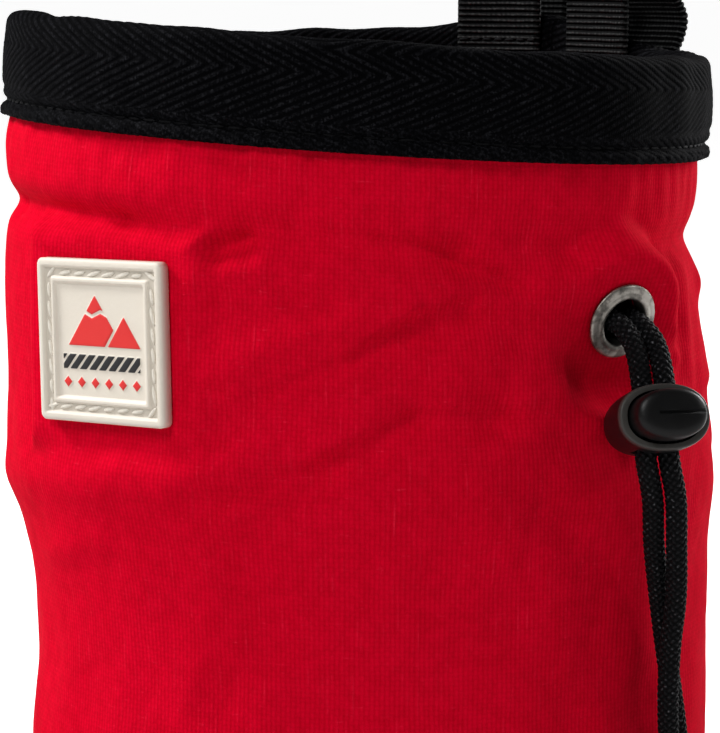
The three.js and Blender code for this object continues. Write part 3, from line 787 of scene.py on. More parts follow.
def canvas_finish():
    canvas = Finish("crimson_canvas", Specular_IOR_Level=0.012)
    u, v = canvas.surface()
    drift = canvas.noise(canvas.join(u, v), 130, 3) - 0.5
    warp_at = u * (weave_threads / (2 * math.pi * bag_radius)) + drift * 0.8
    weft_at = v / weave_pitch + drift * 0.9
    warp_over = ((weft_at - 0.5 + warp_at.floor()) * math.pi).cosine()
    weft_over = ((warp_at - 0.5 + weft_at.floor()) * math.pi).cosine() * -1
    warp = (warp_at.fraction() * math.pi).sine() * (0.72 + 0.28 * warp_over)
    weft = (weft_at.fraction() * math.pi).sine() * (0.42 + 0.34 * weft_over)
    weave = warp.larger(weft)
    streaks = canvas.noise(canvas.join(u * 1700, v * 110), 1.0, 3, 0.6)
    slubs = canvas.noise(canvas.join(u * 320, v * 1700), 1.0, 2, 0.6)
    cloud = canvas.noise(canvas.place(), 55, 4, 0.6)
    mottle = canvas.noise(canvas.place(), 420, 3, 0.65)
    # painted light and shade: the weave's thread crowns are painted brighter red and the hollows between
    # them deeper red; the mottle varies the tone at random
    deep = canvas.blend(cloud, (0.42, 0.0005, 0.009, 1), (0.52, 0.0006, 0.012, 1))
    bright = canvas.blend(cloud, (0.60, 0.0008, 0.016, 1), (0.72, 0.0012, 0.024, 1))
    base = canvas.blend(weave.ramp(0.1, 1.0) * 0.6 + mottle.ramp(0.3, 0.7) * 0.4, deep, bright)
    lighter = (streaks.ramp(0.56, 0.85) * 0.4 + slubs.ramp(0.62, 0.84) * 0.5) * weave
    colour = canvas.blend(lighter, base, (0.92, 0.03, 0.075, 1))
    # painted shade: the cloth inside the eyelet's hole is painted near-black
    away = canvas.node("ShaderNodeVectorMath", {"operation": "DISTANCE"},
                       [canvas.join(u, v), channel_mark], output="Value")
    colour = canvas.blend(away.ramp(0.0042, 0.0047), (0.001, 0.0005, 0.0005, 1), colour)
    relief = weave * 0.55 + streaks * 0.25 + slubs * 0.2
    return canvas.finish(colour, 0.9, relief, 0.00011)


crimson_canvas = canvas_finish()


def wall_side(shares, inset, channel=0.0):
    """Rows of points up one side of the wall, sunk by the channel's depth behind the eyelet."""
    top = rim_top(wall_turns) - tape_thickness - seat_gap
    heights = shares[:, None] * top[None]
    turns = np.broadcast_to(wall_turns, heights.shape)
    sunk = channel * (1 - soft_step(eyelet_away(turns, heights), 0.68, 0.84))
    return polar(turns, cloth_radius(turns, heights) - inset - sunk, heights)


corner_shares = base_corner / bag_height * np.array([0, 0.08, 0.2, 0.36, 0.55, 0.78])
outer_shares = np.concatenate([
    corner_shares,
    np.linspace(base_corner / bag_height, 0.5, 46)[:-1],
    np.linspace(0.5, 0.87, 116)[:-1],  # closer together where the creases are
    np.linspace(0.87, 1, 20),
])
inner_shares = np.linspace(1, 0, lining_rows)
wall_points = np.concatenate([
    wall_side(outer_shares, 0, channel=channel_depth),
    wall_side(inner_shares, wall_thickness),
])
wall_marks_v = np.concatenate([outer_shares, 2 - inner_shares, [2.05]]) * bag_height
wall_marks = np.stack(np.meshgrid(wall_marks_u, wall_marks_v), -1)
body_wall = skin("bag_wall", wall_points, wall_marks, crimson_canvas, ringed=True)
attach(body_wall, "bag")
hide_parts("body_shell")


# Base
# A round panel of the same canvas, sewn inside the lower edge of the wall. It lies flat on the
# floor, a little drawn in towards its seam.

base_thickness = 0.0026
base_rings = 26

base_edge = cloth_radius(wall_turns, np.zeros(wall_columns)) - wall_thickness - seat_gap
base_shares = np.linspace(0.02, 1, base_rings)
base_softness = 0.0006 * soft_step(base_shares, 0.9, 1)


def base_side(height, way):
    """Rings of one face of the base, from its middle to its edge."""
    level = height + way * (base_softness - 0.0002 * np.cos(base_shares * 18))
    level = np.clip(level, 0, base_thickness)
    radii = base_shares[:, None] * base_edge[None]
    return polar(np.broadcast_to(wall_turns, radii.shape), radii, level[:, None])


base_points = np.concatenate([base_side(0, 1), base_side(base_thickness, -1)[::-1]])
base_marks = []
for base_ring in base_points:
    base_loop = np.vstack([base_ring, base_ring[:1]])
    base_marks.append(base_loop[:, :2])
base_panel = skin("base_panel", base_points, np.array(base_marks), crimson_canvas)
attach(base_panel, "bag")
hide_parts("base_panel")


# Bound rim
# A black herringbone tape folded over the top of the wall and sewn through all layers, with a
# narrow turned-up hem below the stitches. Its ribs slant one way above the middle line and the
# other way below it, and they are real ridges.

hem_height = 0.0023
binding_inner_depth = 0.015
binding_swell = 0.00035
binding_columns = 640
chevron_count = 138  # round the bag
chevron_rise = 0.00123  # from one rib to the next, straight down
chevron_line = 0.0069  # where the ribs turn, below the top of the rim
rib_height = 0.0003


class Pattern(Tree):
    """A Geometry Nodes tree with named inputs, which is run once and leaves a plain mesh."""

    kinds = {float: "NodeSocketFloat", int: "NodeSocketInt", bpy.types.Material: "NodeSocketMaterial"}

    def __init__(self, name, **inputs):
        super().__init__(bpy.data.node_groups.new(name, "GeometryNodeTree"))
        sockets = self.nodes.interface
        sockets.new_socket("Geometry", in_out="INPUT", socket_type="NodeSocketGeometry")
        sockets.new_socket("Geometry", in_out="OUTPUT", socket_type="NodeSocketGeometry")
        for label, kind in inputs.items():
            sockets.new_socket(label, in_out="INPUT", socket_type=self.kinds[kind])
        self.start = self.nodes.nodes.new("NodeGroupInput")

    def given(self, label):
        return Wire(self, self.start.outputs[label])

    def attribute(self, label, kind="FLOAT"):
        return self.node("GeometryNodeInputNamedAttribute", {"data_type": kind}, {"Name": label})

    def close(self, geometry):
        real = self.node("GeometryNodeRealizeInstances", values=[geometry])
        values = {"Geometry": real, "Material": self.given("finish")}
        painted = self.node("GeometryNodeSetMaterial", values=values)
        end = self.nodes.nodes.new("NodeGroupOutput")
        self.put(end.inputs[0], painted)
        return self

    def run(self, piece, **values):
        """Runs the tree on an object and keeps the result as its mesh."""
        modifier = piece.modifiers.new("pattern", "NODES")
        modifier.node_group = self.nodes
        for item in self.nodes.interface.items_tree:
            if item.in_out == "INPUT" and item.name in values:
                modifier[item.identifier] = values[item.name]
        evaluated = piece.evaluated_get(bpy.context.evaluated_depsgraph_get())
        mesh = bpy.data.meshes.new_from_object(evaluated)
        piece.modifiers.clear()
        piece.data = mesh
        return piece


def ribs_pattern():
    """Raises a mesh along its normals in even ribs. The mesh holds the count of ribs at each
    point as rib_at, and how much of the height it takes as rib_share."""
    tree = Pattern("ribs", height=float, unevenness=float, seed=int, finish=bpy.types.Material)
    crown = abs((tree.attribute("rib_at") * math.pi).sine()) ** 0.75
    spot = tree.node("GeometryNodeInputPosition")
    shift = tree.node("ShaderNodeCombineXYZ", values=[tree.given("seed"), 0.0, 0.0])
    seeded = tree.node("ShaderNodeVectorMath", {"operation": "ADD"}, [spot, shift])
    chance = tree.node("ShaderNodeTexNoise", values={"Vector": seeded, "Scale": 700.0})
    height = tree.given("height") * tree.attribute("rib_share")
    lift = height * (crown + tree.given("unevenness") * (chance - 0.5))
    values = {0: tree.node("GeometryNodeInputNormal"), "Scale": lift}
    offset = tree.node("ShaderNodeVectorMath", {"operation": "SCALE"}, values)
    moved = tree.node("GeometryNodeSetPosition", values={
        "Geometry": tree.given("Geometry"),
        "Offset": offset,
    })
    return tree.close(moved)


ribs = ribs_pattern()


def mark_ribs(piece, count, share):
    """Stores the ribs' count and share at each point of a mesh."""
    for label, values in (("rib_at", count), ("rib_share", share)):
        stored = piece.data.attributes.new(label, "FLOAT", "POINT")
        stored.data.foreach_set("value", np.asarray(values, np.float32).ravel())


def rounded(corners, passes=3):
    """A polyline with its corners cut several times, ends kept."""
    line = np.asarray(corners, float)
    for _ in range(passes):
        near = 0.75 * line[:-1] + 0.25 * line[1:]
        far = 0.25 * line[:-1] + 0.75 * line[1:]
        middle = np.stack([near, far], 1).reshape(-1, line.shape[1])
        line = np.vstack([line[:1], middle[1:-1], line[-1:]])
    return line


# the tape's visible side: distance below the top of the rim, and out beyond the wall's face
tape_out = seat_gap + tape_thickness
tape_in = -(wall_thickness + seat_gap)
tape_in_face = tape_in - tape_thickness
groove_at = binding_depth - hem_height
shoulder = (tape_out - tape_in_face) / 2
shown_profile = rounded([
    (binding_depth, seat_gap),
    (binding_depth + 0.0001, tape_out + 0.0001),
    (groove_at + 0.0009, tape_out + 0.0002),
    (groove_at + 0.0003, seat_gap + 0.3 * tape_thickness),
    (groove_at - 0.0002, seat_gap + 0.3 * tape_thickness),
    (groove_at - 0.0010, tape_out + 0.0001),
    (binding_depth * 0.62, tape_out + binding_swell),
    (binding_depth * 0.38, tape_out + binding_swell),
    (shoulder, tape_out),
    (0.0, tape_out - 0.1 * shoulder),
    (-0.0006, tape_out - shoulder),
    (0.0, tape_in_face + 0.1 * shoulder),
    (shoulder, tape_in_face),
    (binding_inner_depth * 0.5, tape_in_face - 0.0001),
    (binding_inner_depth, tape_in_face),
    (binding_inner_depth + 0.0001, tape_in - 0.0001),
])
shown_profile = evenly(shown_profile, 0.00032)
hidden_profile = evenly(rounded([
    (binding_inner_depth, tape_in),
    (tape_thickness, tape_in),
    (tape_thickness, seat_gap),
    (binding_depth - 0.0005, seat_gap),
]), 0.0022)
tape_profile = np.vstack([shown_profile, hidden_profile])

tape_turns = seam_turn + np.linspace(0, 360, binding_columns, endpoint=False)
tape_lumps = 0.00035 * ripples(tape_turns, 0, 21, 10, (4, 26), 1.0)
tape_down, tape_beyond = tape_profile[:, :1], tape_profile[:, 1:]
near_top = 1 - soft_step(tape_down, 0.0, 0.009)
tape_level = rim_top(tape_turns)[None] - tape_down + near_top * tape_lumps[None]
tape_grid = np.broadcast_to(tape_turns, tape_level.shape)
tape_swell = 0.00022 * ripples(tape_grid, tape_level, 23, 12, (8, 40), 0.03)
tape_radius = cloth_radius(tape_grid, rim_top(tape_turns)[None] - tape_down, wrinkled=False)
on_hem = soft_step(tape_down, groove_at, groove_at + 0.0005) * (tape_beyond > seat_gap)
tape_swell = tape_swell + 0.00016 * on_hem * ripples(tape_grid, tape_level, 27, 14, (50, 150), 0.01)
tape_points = polar(tape_grid, tape_radius + tape_beyond + tape_swell, tape_level)

# the ribs: the tape's own length down from the top line, positive outside and negative inside
tape_lengths = np.concatenate([
    [0], np.cumsum(np.linalg.norm(np.diff(tape_profile, axis=0), axis=1)),
])
top_index = int(np.argmin(shown_profile[:, 0]))
tape_across = tape_lengths[top_index] - tape_lengths
round_share = (tape_turns - seam_turn) / 360
upper_line = -0.0012 + 0.0047 * np.exp(-((turn_from(tape_turns, 50) / 17.0) ** 4))


def chevrons(across, around_share, upper):
    """Count of ribs at a place on the tape, across in metres and around as a share."""
    slant = around_share * chevron_count
    lower_band = -np.abs(across - chevron_line) / chevron_rise
    turned = across < upper
    fold_back = (2 * upper - across - chevron_line) / chevron_rise
    hem = across > groove_at + 0.0005
    hem_turn = (across - 2 * groove_at + chevron_line) / (0.8 * chevron_rise)
    count = np.where(turned, fold_back, lower_band)
    return np.where(hem, hem_turn, count) - slant


rib_count = chevrons(tape_across[:, None], round_share[None], upper_line[None])
on_groove = np.exp(-(((tape_across - groove_at) / 0.0006) ** 2))
is_shown = np.arange(len(tape_profile)) < len(shown_profile) - 2
rib_share = np.broadcast_to((is_shown * (1 - on_groove))[:, None], rib_count.shape)


def tape_finish():
    tape = Finish("black_herringbone_tape", Specular_IOR_Level=0.02)
    around, across = tape.surface()
    count = tape.node("ShaderNodeAttribute", {"attribute_name": "rib_at"}, output="Fac")
    crown = abs((count * math.pi).sine())
    hem = (across - groove_at - 0.0005).ramp(-0.0001, 0.0001)
    yarn = (around * (chevron_count * 11 * math.pi)).sine() * 0.5 + 0.5
    fuzz = tape.noise(tape.place(), 2200, 4, 0.7)
    cloud = tape.noise(tape.place(), 70, 3)
    # painted highlights: the rib crowns and the turned-up hem are painted lighter grey, in patches
    highlight_patches = tape.noise(tape.place(), 420, 3, 0.6).ramp(0.35, 0.7)
    lit = crown.ramp(0.5, 0.98) * fuzz.ramp(0.4, 0.7) * (0.4 + 0.6 * highlight_patches) * (0.6 + 0.4 * yarn)
    lit = lit.larger(hem * fuzz.ramp(0.45, 0.75) * (0.3 + 0.4 * highlight_patches))
    dark = tape.blend(cloud, (0.0006, 0.0006, 0.0009, 1), (0.0011, 0.0011, 0.0015, 1))
    light = tape.blend(cloud, (0.015, 0.015, 0.018, 1), (0.026, 0.026, 0.030, 1))
    colour = tape.blend(lit, dark, light)
    return tape.finish(colour, 0.82, crown * 0.5 + yarn * 0.15 + fuzz * 0.35, 0.00018)


tape_marks = np.stack(np.meshgrid(
    np.linspace(0, 1, binding_columns + 1),
    np.append(tape_across, tape_across[-1] - 0.001),
), -1)
black_tape = tape_finish()
rim_binding = skin("rim_binding", tape_points, tape_marks, black_tape, ringed=True)
mark_ribs(rim_binding, rib_count, rib_share)
ribs.run(rim_binding, height=rib_height, unevenness=0.25, seed=4, finish=black_tape)
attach(rim_binding, "bag")
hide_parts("rim_binding")


# Belt loops
# Two straps of black ribbed webbing, each sewn to the inside of the rim, carried up and over in a
# square loop and sewn to the outside. Its ribs run across it and are real ridges on both faces.

webbing_width = 0.017
webbing_thickness = 0.0015
webbing_rib = 0.00104
loop_rise = 0.030
loop_tuck = 0.014
loop_corner = 0.0032
loop_seat_gap = 0.00045
loop_lean_from = 0.003  # heights above the rim between which the outer leg leans back in
loop_lean_to = 0.010

# name, turn, how far the outer leg stands off at the rim, how far it comes back in above
belt_loops = [
    ("belt_loop_left", 195.3, 0.0032, 0.0008),
    ("belt_loop_right", 169.5, 0.0055, 0.0040),
]


def loop_line(turn, bow, lean):
    """Route of a strap's middle: distance from the bag's middle line, and height."""
    top = float(rim_top(turn))
    rim = float(cloth_radius(turn, top - binding_depth / 2, wrinkled=False))
    half = webbing_thickness / 2
    inside = rim - wall_thickness - seat_gap - tape_thickness - loop_seat_gap - half
    outside = rim + seat_gap + tape_thickness + binding_swell + loop_seat_gap + half
    crown = top + loop_rise - half
    belly = outside + bow
    upright = belly - lean
    return evenly(rounded([
        (inside, top - loop_tuck),
        (inside, top),
        (inside, crown - loop_corner),
        (inside + loop_corner * 0.2, crown - loop_corner * 0.2),
        (inside + loop_corner, crown),
        (upright - loop_corner, crown),
        (upright - loop_corner * 0.2, crown - loop_corner * 0.2),
        (upright, crown - loop_corner),
        (upright, top + loop_lean_to),
        (belly - lean * 0.35, top + (loop_lean_from + loop_lean_to) / 2),
        (belly, top + loop_lean_from),
        (outside + bow * 0.4, top - loop_tuck * 0.25),
        (outside, top - loop_tuck * 0.6),
        (outside, top - loop_tuck),
    ]), webbing_rib / 7)


def webbing_finish():
    webbing = Finish("black_webbing", Specular_IOR_Level=0.03)
    across, along = webbing.surface()
    sway = webbing.noise(webbing.join(across * 160, along * 500), 1.0, 2)
    crown = abs(((along / webbing_rib + (sway - 0.5) * 0.3) * math.pi).sine())
    yarn = ((across / 0.00052 + sway * 1.5) * math.pi).sine() * 0.5 + 0.5
    fuzz = webbing.noise(webbing.place(), 1800, 3, 0.6)
    # painted highlight: the rib crowns are painted grey, brighter where the fuzz is high, over near-black
    # valleys
    lit = crown.ramp(0.78, 0.99) * (0.3 + 0.7 * fuzz.ramp(0.35, 0.7)) * (0.6 + 0.4 * yarn)
    colour = webbing.blend(lit, (0.0005, 0.0005, 0.0007, 1), (0.058, 0.060, 0.060, 1))
    return webbing.finish(colour, 0.6, crown * 0.5 + yarn * 0.25 + fuzz * 0.25, 0.00014)


black_webbing = webbing_finish()
across_steps = 30


def belt_loop(name, turn, bow, lean):
    """One strap, a closed strip with ribs."""
    line = loop_line(turn, bow, lean)
    steps = np.gradient(line, axis=0)
    steps /= np.linalg.norm(steps, axis=1)[:, None]
    normals = np.stack([-steps[:, 1], steps[:, 0]], -1)
    along = np.arange(len(line)) * length_of(line) / (len(line) - 1)
    wave = 0.00012 * np.sin(along / 0.004)
    section = []
    edge = 0.0004
    for side, order in ((1, 1), (-1, -1)):
        across = np.linspace(-1, 1, across_steps)[::order] * (webbing_width / 2)
        thick = np.clip((webbing_width / 2 - np.abs(across)) / edge, 0, 1)
        lift = (webbing_thickness / 2 - 0.00022) * (0.35 + 0.65 * np.sqrt(1 - (1 - thick) ** 2))
        section += [(a, side * t) for a, t in zip(across, lift)]
    across, lift = np.array(section).T
    out = line[:, :1] + normals[:, :1] * lift[None] + wave[:, None] * normals[:, :1]
    up = line[:, 1:] + normals[:, 1:] * lift[None] + wave[:, None] * normals[:, 1:]
    turns = turn + np.degrees(across[None] / line[:, :1])
    marks = np.stack(np.meshgrid(np.append(across, across[0]), along), -1)
    strap = skin(name, polar(turns, out, up), marks, black_webbing)
    ends = len(strap.data.vertices) - out.size
    share = np.clip((webbing_width / 2 - np.abs(across)) / 0.0006, 0.15, 1)
    share = np.broadcast_to(share, out.shape) * soft_step(along, 0, 0.0008)[:, None]
    count = np.broadcast_to((along / webbing_rib)[:, None], out.shape)
    mark_ribs(
        strap,
        np.append(count.ravel(), np.zeros(ends)),
        np.append(share.ravel(), np.zeros(ends)),
    )
    ribs.run(strap, height=0.00032, unevenness=0.3, seed=9, finish=black_webbing)
    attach(strap, "bag")
    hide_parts(name)
    return line


loop_lines = [belt_loop(*loop) for loop in belt_loops]


# Label
# A moulded patch of cream rubber sewn to the cloth: a raised frame, a channel that holds the
# stitches, an inner rim and a sunk field. The field carries a plain design in low relief: two
# mountain peaks, a rope under them and a row of diamonds.

label_thickness = 0.0021
label_tilt = 1.5  # degrees, right edge up
label_frame = 0.0014
label_channel = 0.0018
label_corner = 0.0011
field_cell = 0.0002

# distance in from the label's edge, share of its thickness
label_steps = np.array([
    (0.0, 0.80),
    (0.00025, 0.95),
    (0.0006, 1.0),
    (0.0011, 1.0),
    (0.0014, 0.86),
    (0.0016, 0.68),
    (0.0019, 0.66),
    (0.0028, 0.70),
    (0.0030, 0.84),
    (0.0032, 0.94),
    (0.0036, 0.94),
    (0.0039, 0.80),
    (0.0041, 0.66),
    (0.0044, 0.66),
])
field_inset = label_steps[-1, 0]
field_half = np.array([label_width / 2 - field_inset, label_height / 2 - field_inset])


def below_line(x, y, start, end):
    """Signed distance to the right of a line from start to end."""
    way = np.subtract(end, start)
    way = way / np.hypot(*way)
    return (x - start[0]) * way[1] - (y - start[1]) * way[0]


def peak(x, y, left, top, right):
    """Signed distance into a triangle, positive inside."""
    sides = [below_line(x, y, left, top), below_line(x, y, top, right), y - left[1]]
    return np.minimum.reduce(sides)


def design(x, y):
    """Signed distances into the red and the black parts of the field's design."""
    base = -0.0008
    tall = peak(x, y, (-0.0072, base), (-0.0012, 0.0074), (0.0048, base))
    low = peak(x, y, (0.0014, base), (0.0050, 0.0042), (0.0086, base))
    tall = np.minimum(tall, -low - 0.0005)
    snow = np.abs(y - 0.0040 - 0.0008 * np.abs(((x / 0.0019) % 2) - 1)) - 0.0003
    tall = np.minimum(tall, snow)
    lane = np.abs(y + 0.0034) - 0.0012
    strokes = np.abs((((x - 0.9 * y) / 0.0021) % 1) - 0.5) * 0.0021 - 0.00028
    rope = np.minimum.reduce([-lane, strokes, 0.0084 - np.abs(x)])
    cell = ((x + 0.0090) / 0.0030) % 1 - 0.5
    diamond = 0.0009 - (np.abs(cell) * 0.0030 + np.abs(y + 0.0067))
    diamonds = np.minimum(diamond * 0.7, 0.0088 - np.abs(x))
    return np.maximum(np.maximum(tall, low), diamonds), rope


def on_label(x, y, lift):
    """Points on the label, which is flat and tilted a little."""
    tilt = math.radians(label_tilt)
    across = x * math.cos(tilt) - y * math.sin(tilt)
    up = x * math.sin(tilt) + y * math.cos(tilt)
    return label_seat.place(across, up, seat_gap + lift)


def label_finish():
    rubber = Finish("cream_rubber", Specular_IOR_Level=0.45)
    x, y = rubber.surface()
    inset = (label_width / 2 - abs(x)).smaller(label_height / 2 - abs(y))
    cloud = rubber.noise(rubber.place(), 130, 4, 0.6)
    pores = rubber.noise(rubber.place(), 1400, 2, 0.5)
    # painted shade: the recessed stitch channel is painted darker, more so where the cloud is high
    channel = inset.ramp(0.0013, 0.0017) * (1 - inset.ramp(0.0027, 0.0031))
    channel_shade = channel * (0.25 + 0.5 * cloud)
    cream = rubber.blend(cloud, (0.66, 0.60, 0.51, 1), (0.73, 0.67, 0.58, 1))
    cream = rubber.blend(channel_shade, cream, (0.44, 0.39, 0.32, 1))
    red = rubber.blend(cloud, (0.62, 0.012, 0.012, 1), (0.72, 0.022, 0.018, 1))
    red_share = rubber.node("ShaderNodeAttribute", {"attribute_name": "red"}, output="Fac")
    black_share = rubber.node("ShaderNodeAttribute", {"attribute_name": "black"}, output="Fac")
    colour = rubber.blend((red_share * 1e6).ramp(-40, 40), cream, red)
    colour = rubber.blend((black_share * 1e6).ramp(-40, 40), colour, (0.008, 0.008, 0.009, 1))
    return rubber.finish(colour, 0.5 + 0.12 * cloud, cloud * 0.5 + pores * 0.5, 0.00006)


def label_patch(material):
    """The label's mesh: a grid on its field, rings out to its edge and a plain back."""
    cells = np.round(2 * field_half / field_cell).astype(int)
    x = np.linspace(-field_half[0], field_half[0], cells[0] + 1)
    y = np.linspace(-field_half[1], field_half[1], cells[1] + 1)
    grid_x, grid_y = np.meshgrid(x, y)
    red, black = design(grid_x, grid_y)
    raised = 0.00022 * soft_step(np.maximum(red, black), -0.00008, 0.00012)
    floor_lift = label_steps[-1, 1] * label_thickness
    field = on_label(grid_x, grid_y, floor_lift + raised)
    index = np.arange(grid_x.size).reshape(grid_x.shape)
    loop = np.concatenate([index[0, :-1], index[:-1, -1], index[-1, :0:-1], index[:0:-1, 0]])
    edge_x, edge_y = grid_x.ravel()[loop], grid_y.ravel()[loop]
    vertices = [field.reshape(-1, 3)]
    flat = [np.stack([grid_x.ravel(), grid_y.ravel()], -1)]
    faces = np.stack([index[:-1, :-1], index[:-1, 1:], index[1:, 1:], index[1:, :-1]], -1)
    faces = faces.reshape(-1, 4).tolist()
    last = loop
    count = grid_x.size
    insets = np.linspace(field_inset, 0, 34)[1:]
    insets = np.concatenate([insets, [0, 0.0001]])
    lifts = np.interp(insets, label_steps[:, 0], label_steps[:, 1]) * label_thickness
    lifts[-2:] = 0.0
    for inset, lift in zip(insets, lifts):
        half = np.array([label_width / 2 - inset, label_height / 2 - inset])
        ring_x = edge_x * half[0] / field_half[0]
        ring_y = edge_y * half[1] / field_half[1]
        radius = max(label_corner - inset, 0.0003)
        over_x = np.abs(ring_x) - (half[0] - radius)
        over_y = np.abs(ring_y) - (half[1] - radius)
        in_corner = (over_x > 0) & (over_y > 0)
        scale = np.where(in_corner, radius / np.maximum(np.hypot(over_x, over_y), 1e-9), 1)
        ring_x = np.where(in_corner, np.sign(ring_x) * (half[0] - radius + over_x * scale), ring_x)
        ring_y = np.where(in_corner, np.sign(ring_y) * (half[1] - radius + over_y * scale), ring_y)
        vertices.append(on_label(ring_x, ring_y, lift))
        flat.append(np.stack([ring_x, ring_y], -1))
        ring = count + np.arange(len(loop))
        count += len(loop)
        faces += np.stack([last, ring, np.roll(ring, -1), np.roll(last, -1)], -1).tolist()
        last = ring
    vertices.append(on_label(grid_x, grid_y, 0.0).reshape(-1, 3))
    flat.append(np.stack([grid_x.ravel(), grid_y.ravel()], -1))
    back = index + count
    back_faces = np.stack([back[:-1, :-1], back[1:, :-1], back[1:, 1:], back[:-1, 1:]], -1)
    faces += back_faces.reshape(-1, 4).tolist()
    back_loop = loop + count
    faces += np.stack([last, back_loop, np.roll(back_loop, -1), np.roll(last, -1)], -1).tolist()
    mesh = bpy.data.meshes.new("label_patch")
    mesh.from_pydata(np.vstack(vertices).tolist(), [], faces)
    flat = np.vstack(flat)
    corners = np.empty(len(mesh.loops), np.int32)
    mesh.loops.foreach_get("vertex_index", corners)
    layer = mesh.uv_layers.new(name="surface")
    layer.data.foreach_set("uv", flat[corners].astype(np.float32).ravel())
    for name, distance in (("red", red), ("black", black)):
        values = np.full(len(flat), -0.001, np.float32)
        values[: grid_x.size] = distance.ravel()
        mesh.attributes.new(name, "FLOAT", "POINT").data.foreach_set("value", values)
    return add_object("label_patch", mesh, material)


label = label_patch(label_finish())
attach(label, "bag")
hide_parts("label_patch")


# Eyelet
# A turned ring of satin nickel pressed through the cloth: a domed flange with a rolled inner lip,
# and a barrel that goes into the wall. The drawcord leaves through it.

eyelet_hole = 0.0039
eyelet_flange = 0.0009
eyelet_barrel = 0.0007
eyelet_depth = 0.0015
eyelet_sides = 128

eyelet_lift = seat_gap + 0.0001
eyelet_profile = evenly(rounded([
    (eyelet_hole, -eyelet_depth),
    (eyelet_hole, -0.0002),
    (eyelet_hole, eyelet_lift + eyelet_flange * 0.8),
    (eyelet_hole + 0.0004, eyelet_lift + eyelet_flange * 1.12),
    (eyelet_hole + 0.0009, eyelet_lift + eyelet_flange * 1.05),
    (eyelet_hole + 0.0012, eyelet_lift + eyelet_flange * 0.86),
    (eyelet_radius - 0.0009, eyelet_lift + eyelet_flange * 0.84),
    (eyelet_radius - 0.0002, eyelet_lift + eyelet_flange * 0.6),
    (eyelet_radius, eyelet_lift + eyelet_flange * 0.2),
    (eyelet_radius - 0.0001, eyelet_lift),
    (eyelet_hole + eyelet_barrel, eyelet_lift),
    (eyelet_hole + eyelet_barrel, -eyelet_depth),
    (eyelet_hole, -eyelet_depth),
]), 0.00014)[:-1]


def nickel_finish():
    nickel = Finish("satin_nickel", Metallic=1.0)
    around, across = nickel.surface()
    brushing = nickel.noise(nickel.join(around * 40, across * 9000), 1.0, 3, 0.6)
    wear = nickel.noise(nickel.place(), 420, 3, 0.6)
    pits = nickel.noise(nickel.place(), 2600, 2, 0.5)
    colour = nickel.blend(wear.ramp(0.4, 0.62), (0.38, 0.355, 0.32, 1), (0.13, 0.12, 0.108, 1))
    roughness = 0.30 + 0.22 * wear + 0.08 * brushing
    return nickel.finish(colour, roughness, brushing * 0.4 + wear * 0.4 + pits * 0.2, 0.00003)


def eyelet_ring(material):
    """The profile turned round the eyelet's own line."""
    angles = np.linspace(0, 2 * math.pi, eyelet_sides, endpoint=False)[:, None, None]
    radius = eyelet_profile[None, :, :1]
    ring = [radius * np.cos(angles), radius * np.sin(angles), eyelet_profile[None, :, 1:]]
    points = eyelet_seat.place(*[part[..., 0] for part in ring])
    marks = np.stack(np.meshgrid(
        np.linspace(0, 0.02, len(eyelet_profile) + 1),
        np.linspace(0, 1, eyelet_sides + 1),
    ), -1)[..., ::-1]
    return skin("eyelet", points, marks, material, ringed=True)


eyelet = eyelet_ring(nickel_finish())
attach(eyelet, "bag")
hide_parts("eyelet")


# Toggle
# A press toggle of black moulded plastic: an oval cup that the two strands run through, and a
# button with a parting rib that a spring holds out. Pressing the button frees the cord.

toggle_yaw = 57 + 180
toggle_pitch = 16
casing_width = 0.0148
casing_height = 0.0106
casing_back = 0.008
casing_front = 0.0055
casing_floor = 0.0014
button_width = 0.0116
button_height = 0.008
button_stand_out = 0.005
button_travel = 0.003
slide_gap = 0.00035
toggle_sides = 96

toggle_middle = pair_at(cord_route[toggle_row])[0]
yaw, pitch = math.radians(toggle_yaw), math.radians(toggle_pitch)
toggle_axes = np.array([
    (math.cos(yaw), math.sin(yaw), 0),
    (-math.sin(yaw) * math.cos(pitch), math.cos(yaw) * math.cos(pitch), math.sin(pitch)),
    (math.sin(yaw) * math.sin(pitch), -math.cos(yaw) * math.sin(pitch), math.cos(pitch)),
])


def oval_body(name, width, height, profile, material):
    """A closed oval form. profile holds the place along the slide and the share of its size."""
    angles = np.linspace(0, 2 * math.pi, toggle_sides, endpoint=False)
    squared = [np.sign(c) * np.abs(c) ** 0.88 for c in (np.cos(angles), np.sin(angles))]
    along, share = profile[:, :1], profile[:, 1:]
    local = np.stack(np.broadcast_arrays(
        width / 2 * share * squared[0][None],
        along,
        height / 2 * share * squared[1][None],
    ), -1)
    marks = np.stack(np.meshgrid(np.linspace(0, 1, toggle_sides + 1), profile[:, 0]), -1)
    return skin(name, toggle_middle + local @ toggle_axes, marks, material)


def block(name, low, high):
    """A plain box in the toggle's own frame, only used to cut with."""
    low, high = np.array(low), np.array(high)
    ring = np.array([(0, 0), (1, 0), (1, 1), (0, 1)])
    far = np.array([np.column_stack([ring, np.full(4, level)]) for level in (0, 1)])
    local = low + far * (high - low)
    marks = np.zeros((2, 5, 2))
    return skin(name, toggle_middle + local @ toggle_axes, marks, None)


def cut(piece, cutters, operation="DIFFERENCE", softness=0.00018):
    """Cuts closed forms out of a piece, or adds them to it, and softens the new edges."""
    for cutter in cutters:
        modifier = piece.modifiers.new("cut", "BOOLEAN")
        modifier.operation = operation
        modifier.solver = "EXACT"
        modifier.object = cutter
    evaluated = piece.evaluated_get(bpy.context.evaluated_depsgraph_get())
    mesh = bpy.data.meshes.new_from_object(evaluated)
    piece.modifiers.clear()
    piece.data = mesh
    for cutter in cutters:
        bpy.data.objects.remove(cutter)
    edge = piece.modifiers.new("edge", "BEVEL")
    edge.width = softness
    edge.segments = 2
    edge.limit_method = "ANGLE"
    edge.angle_limit = math.radians(50)
    evaluated = piece.evaluated_get(bpy.context.evaluated_depsgraph_get())
    piece.data = bpy.data.meshes.new_from_object(evaluated)
    piece.modifiers.clear()
    piece.data.shade_smooth()
    return piece


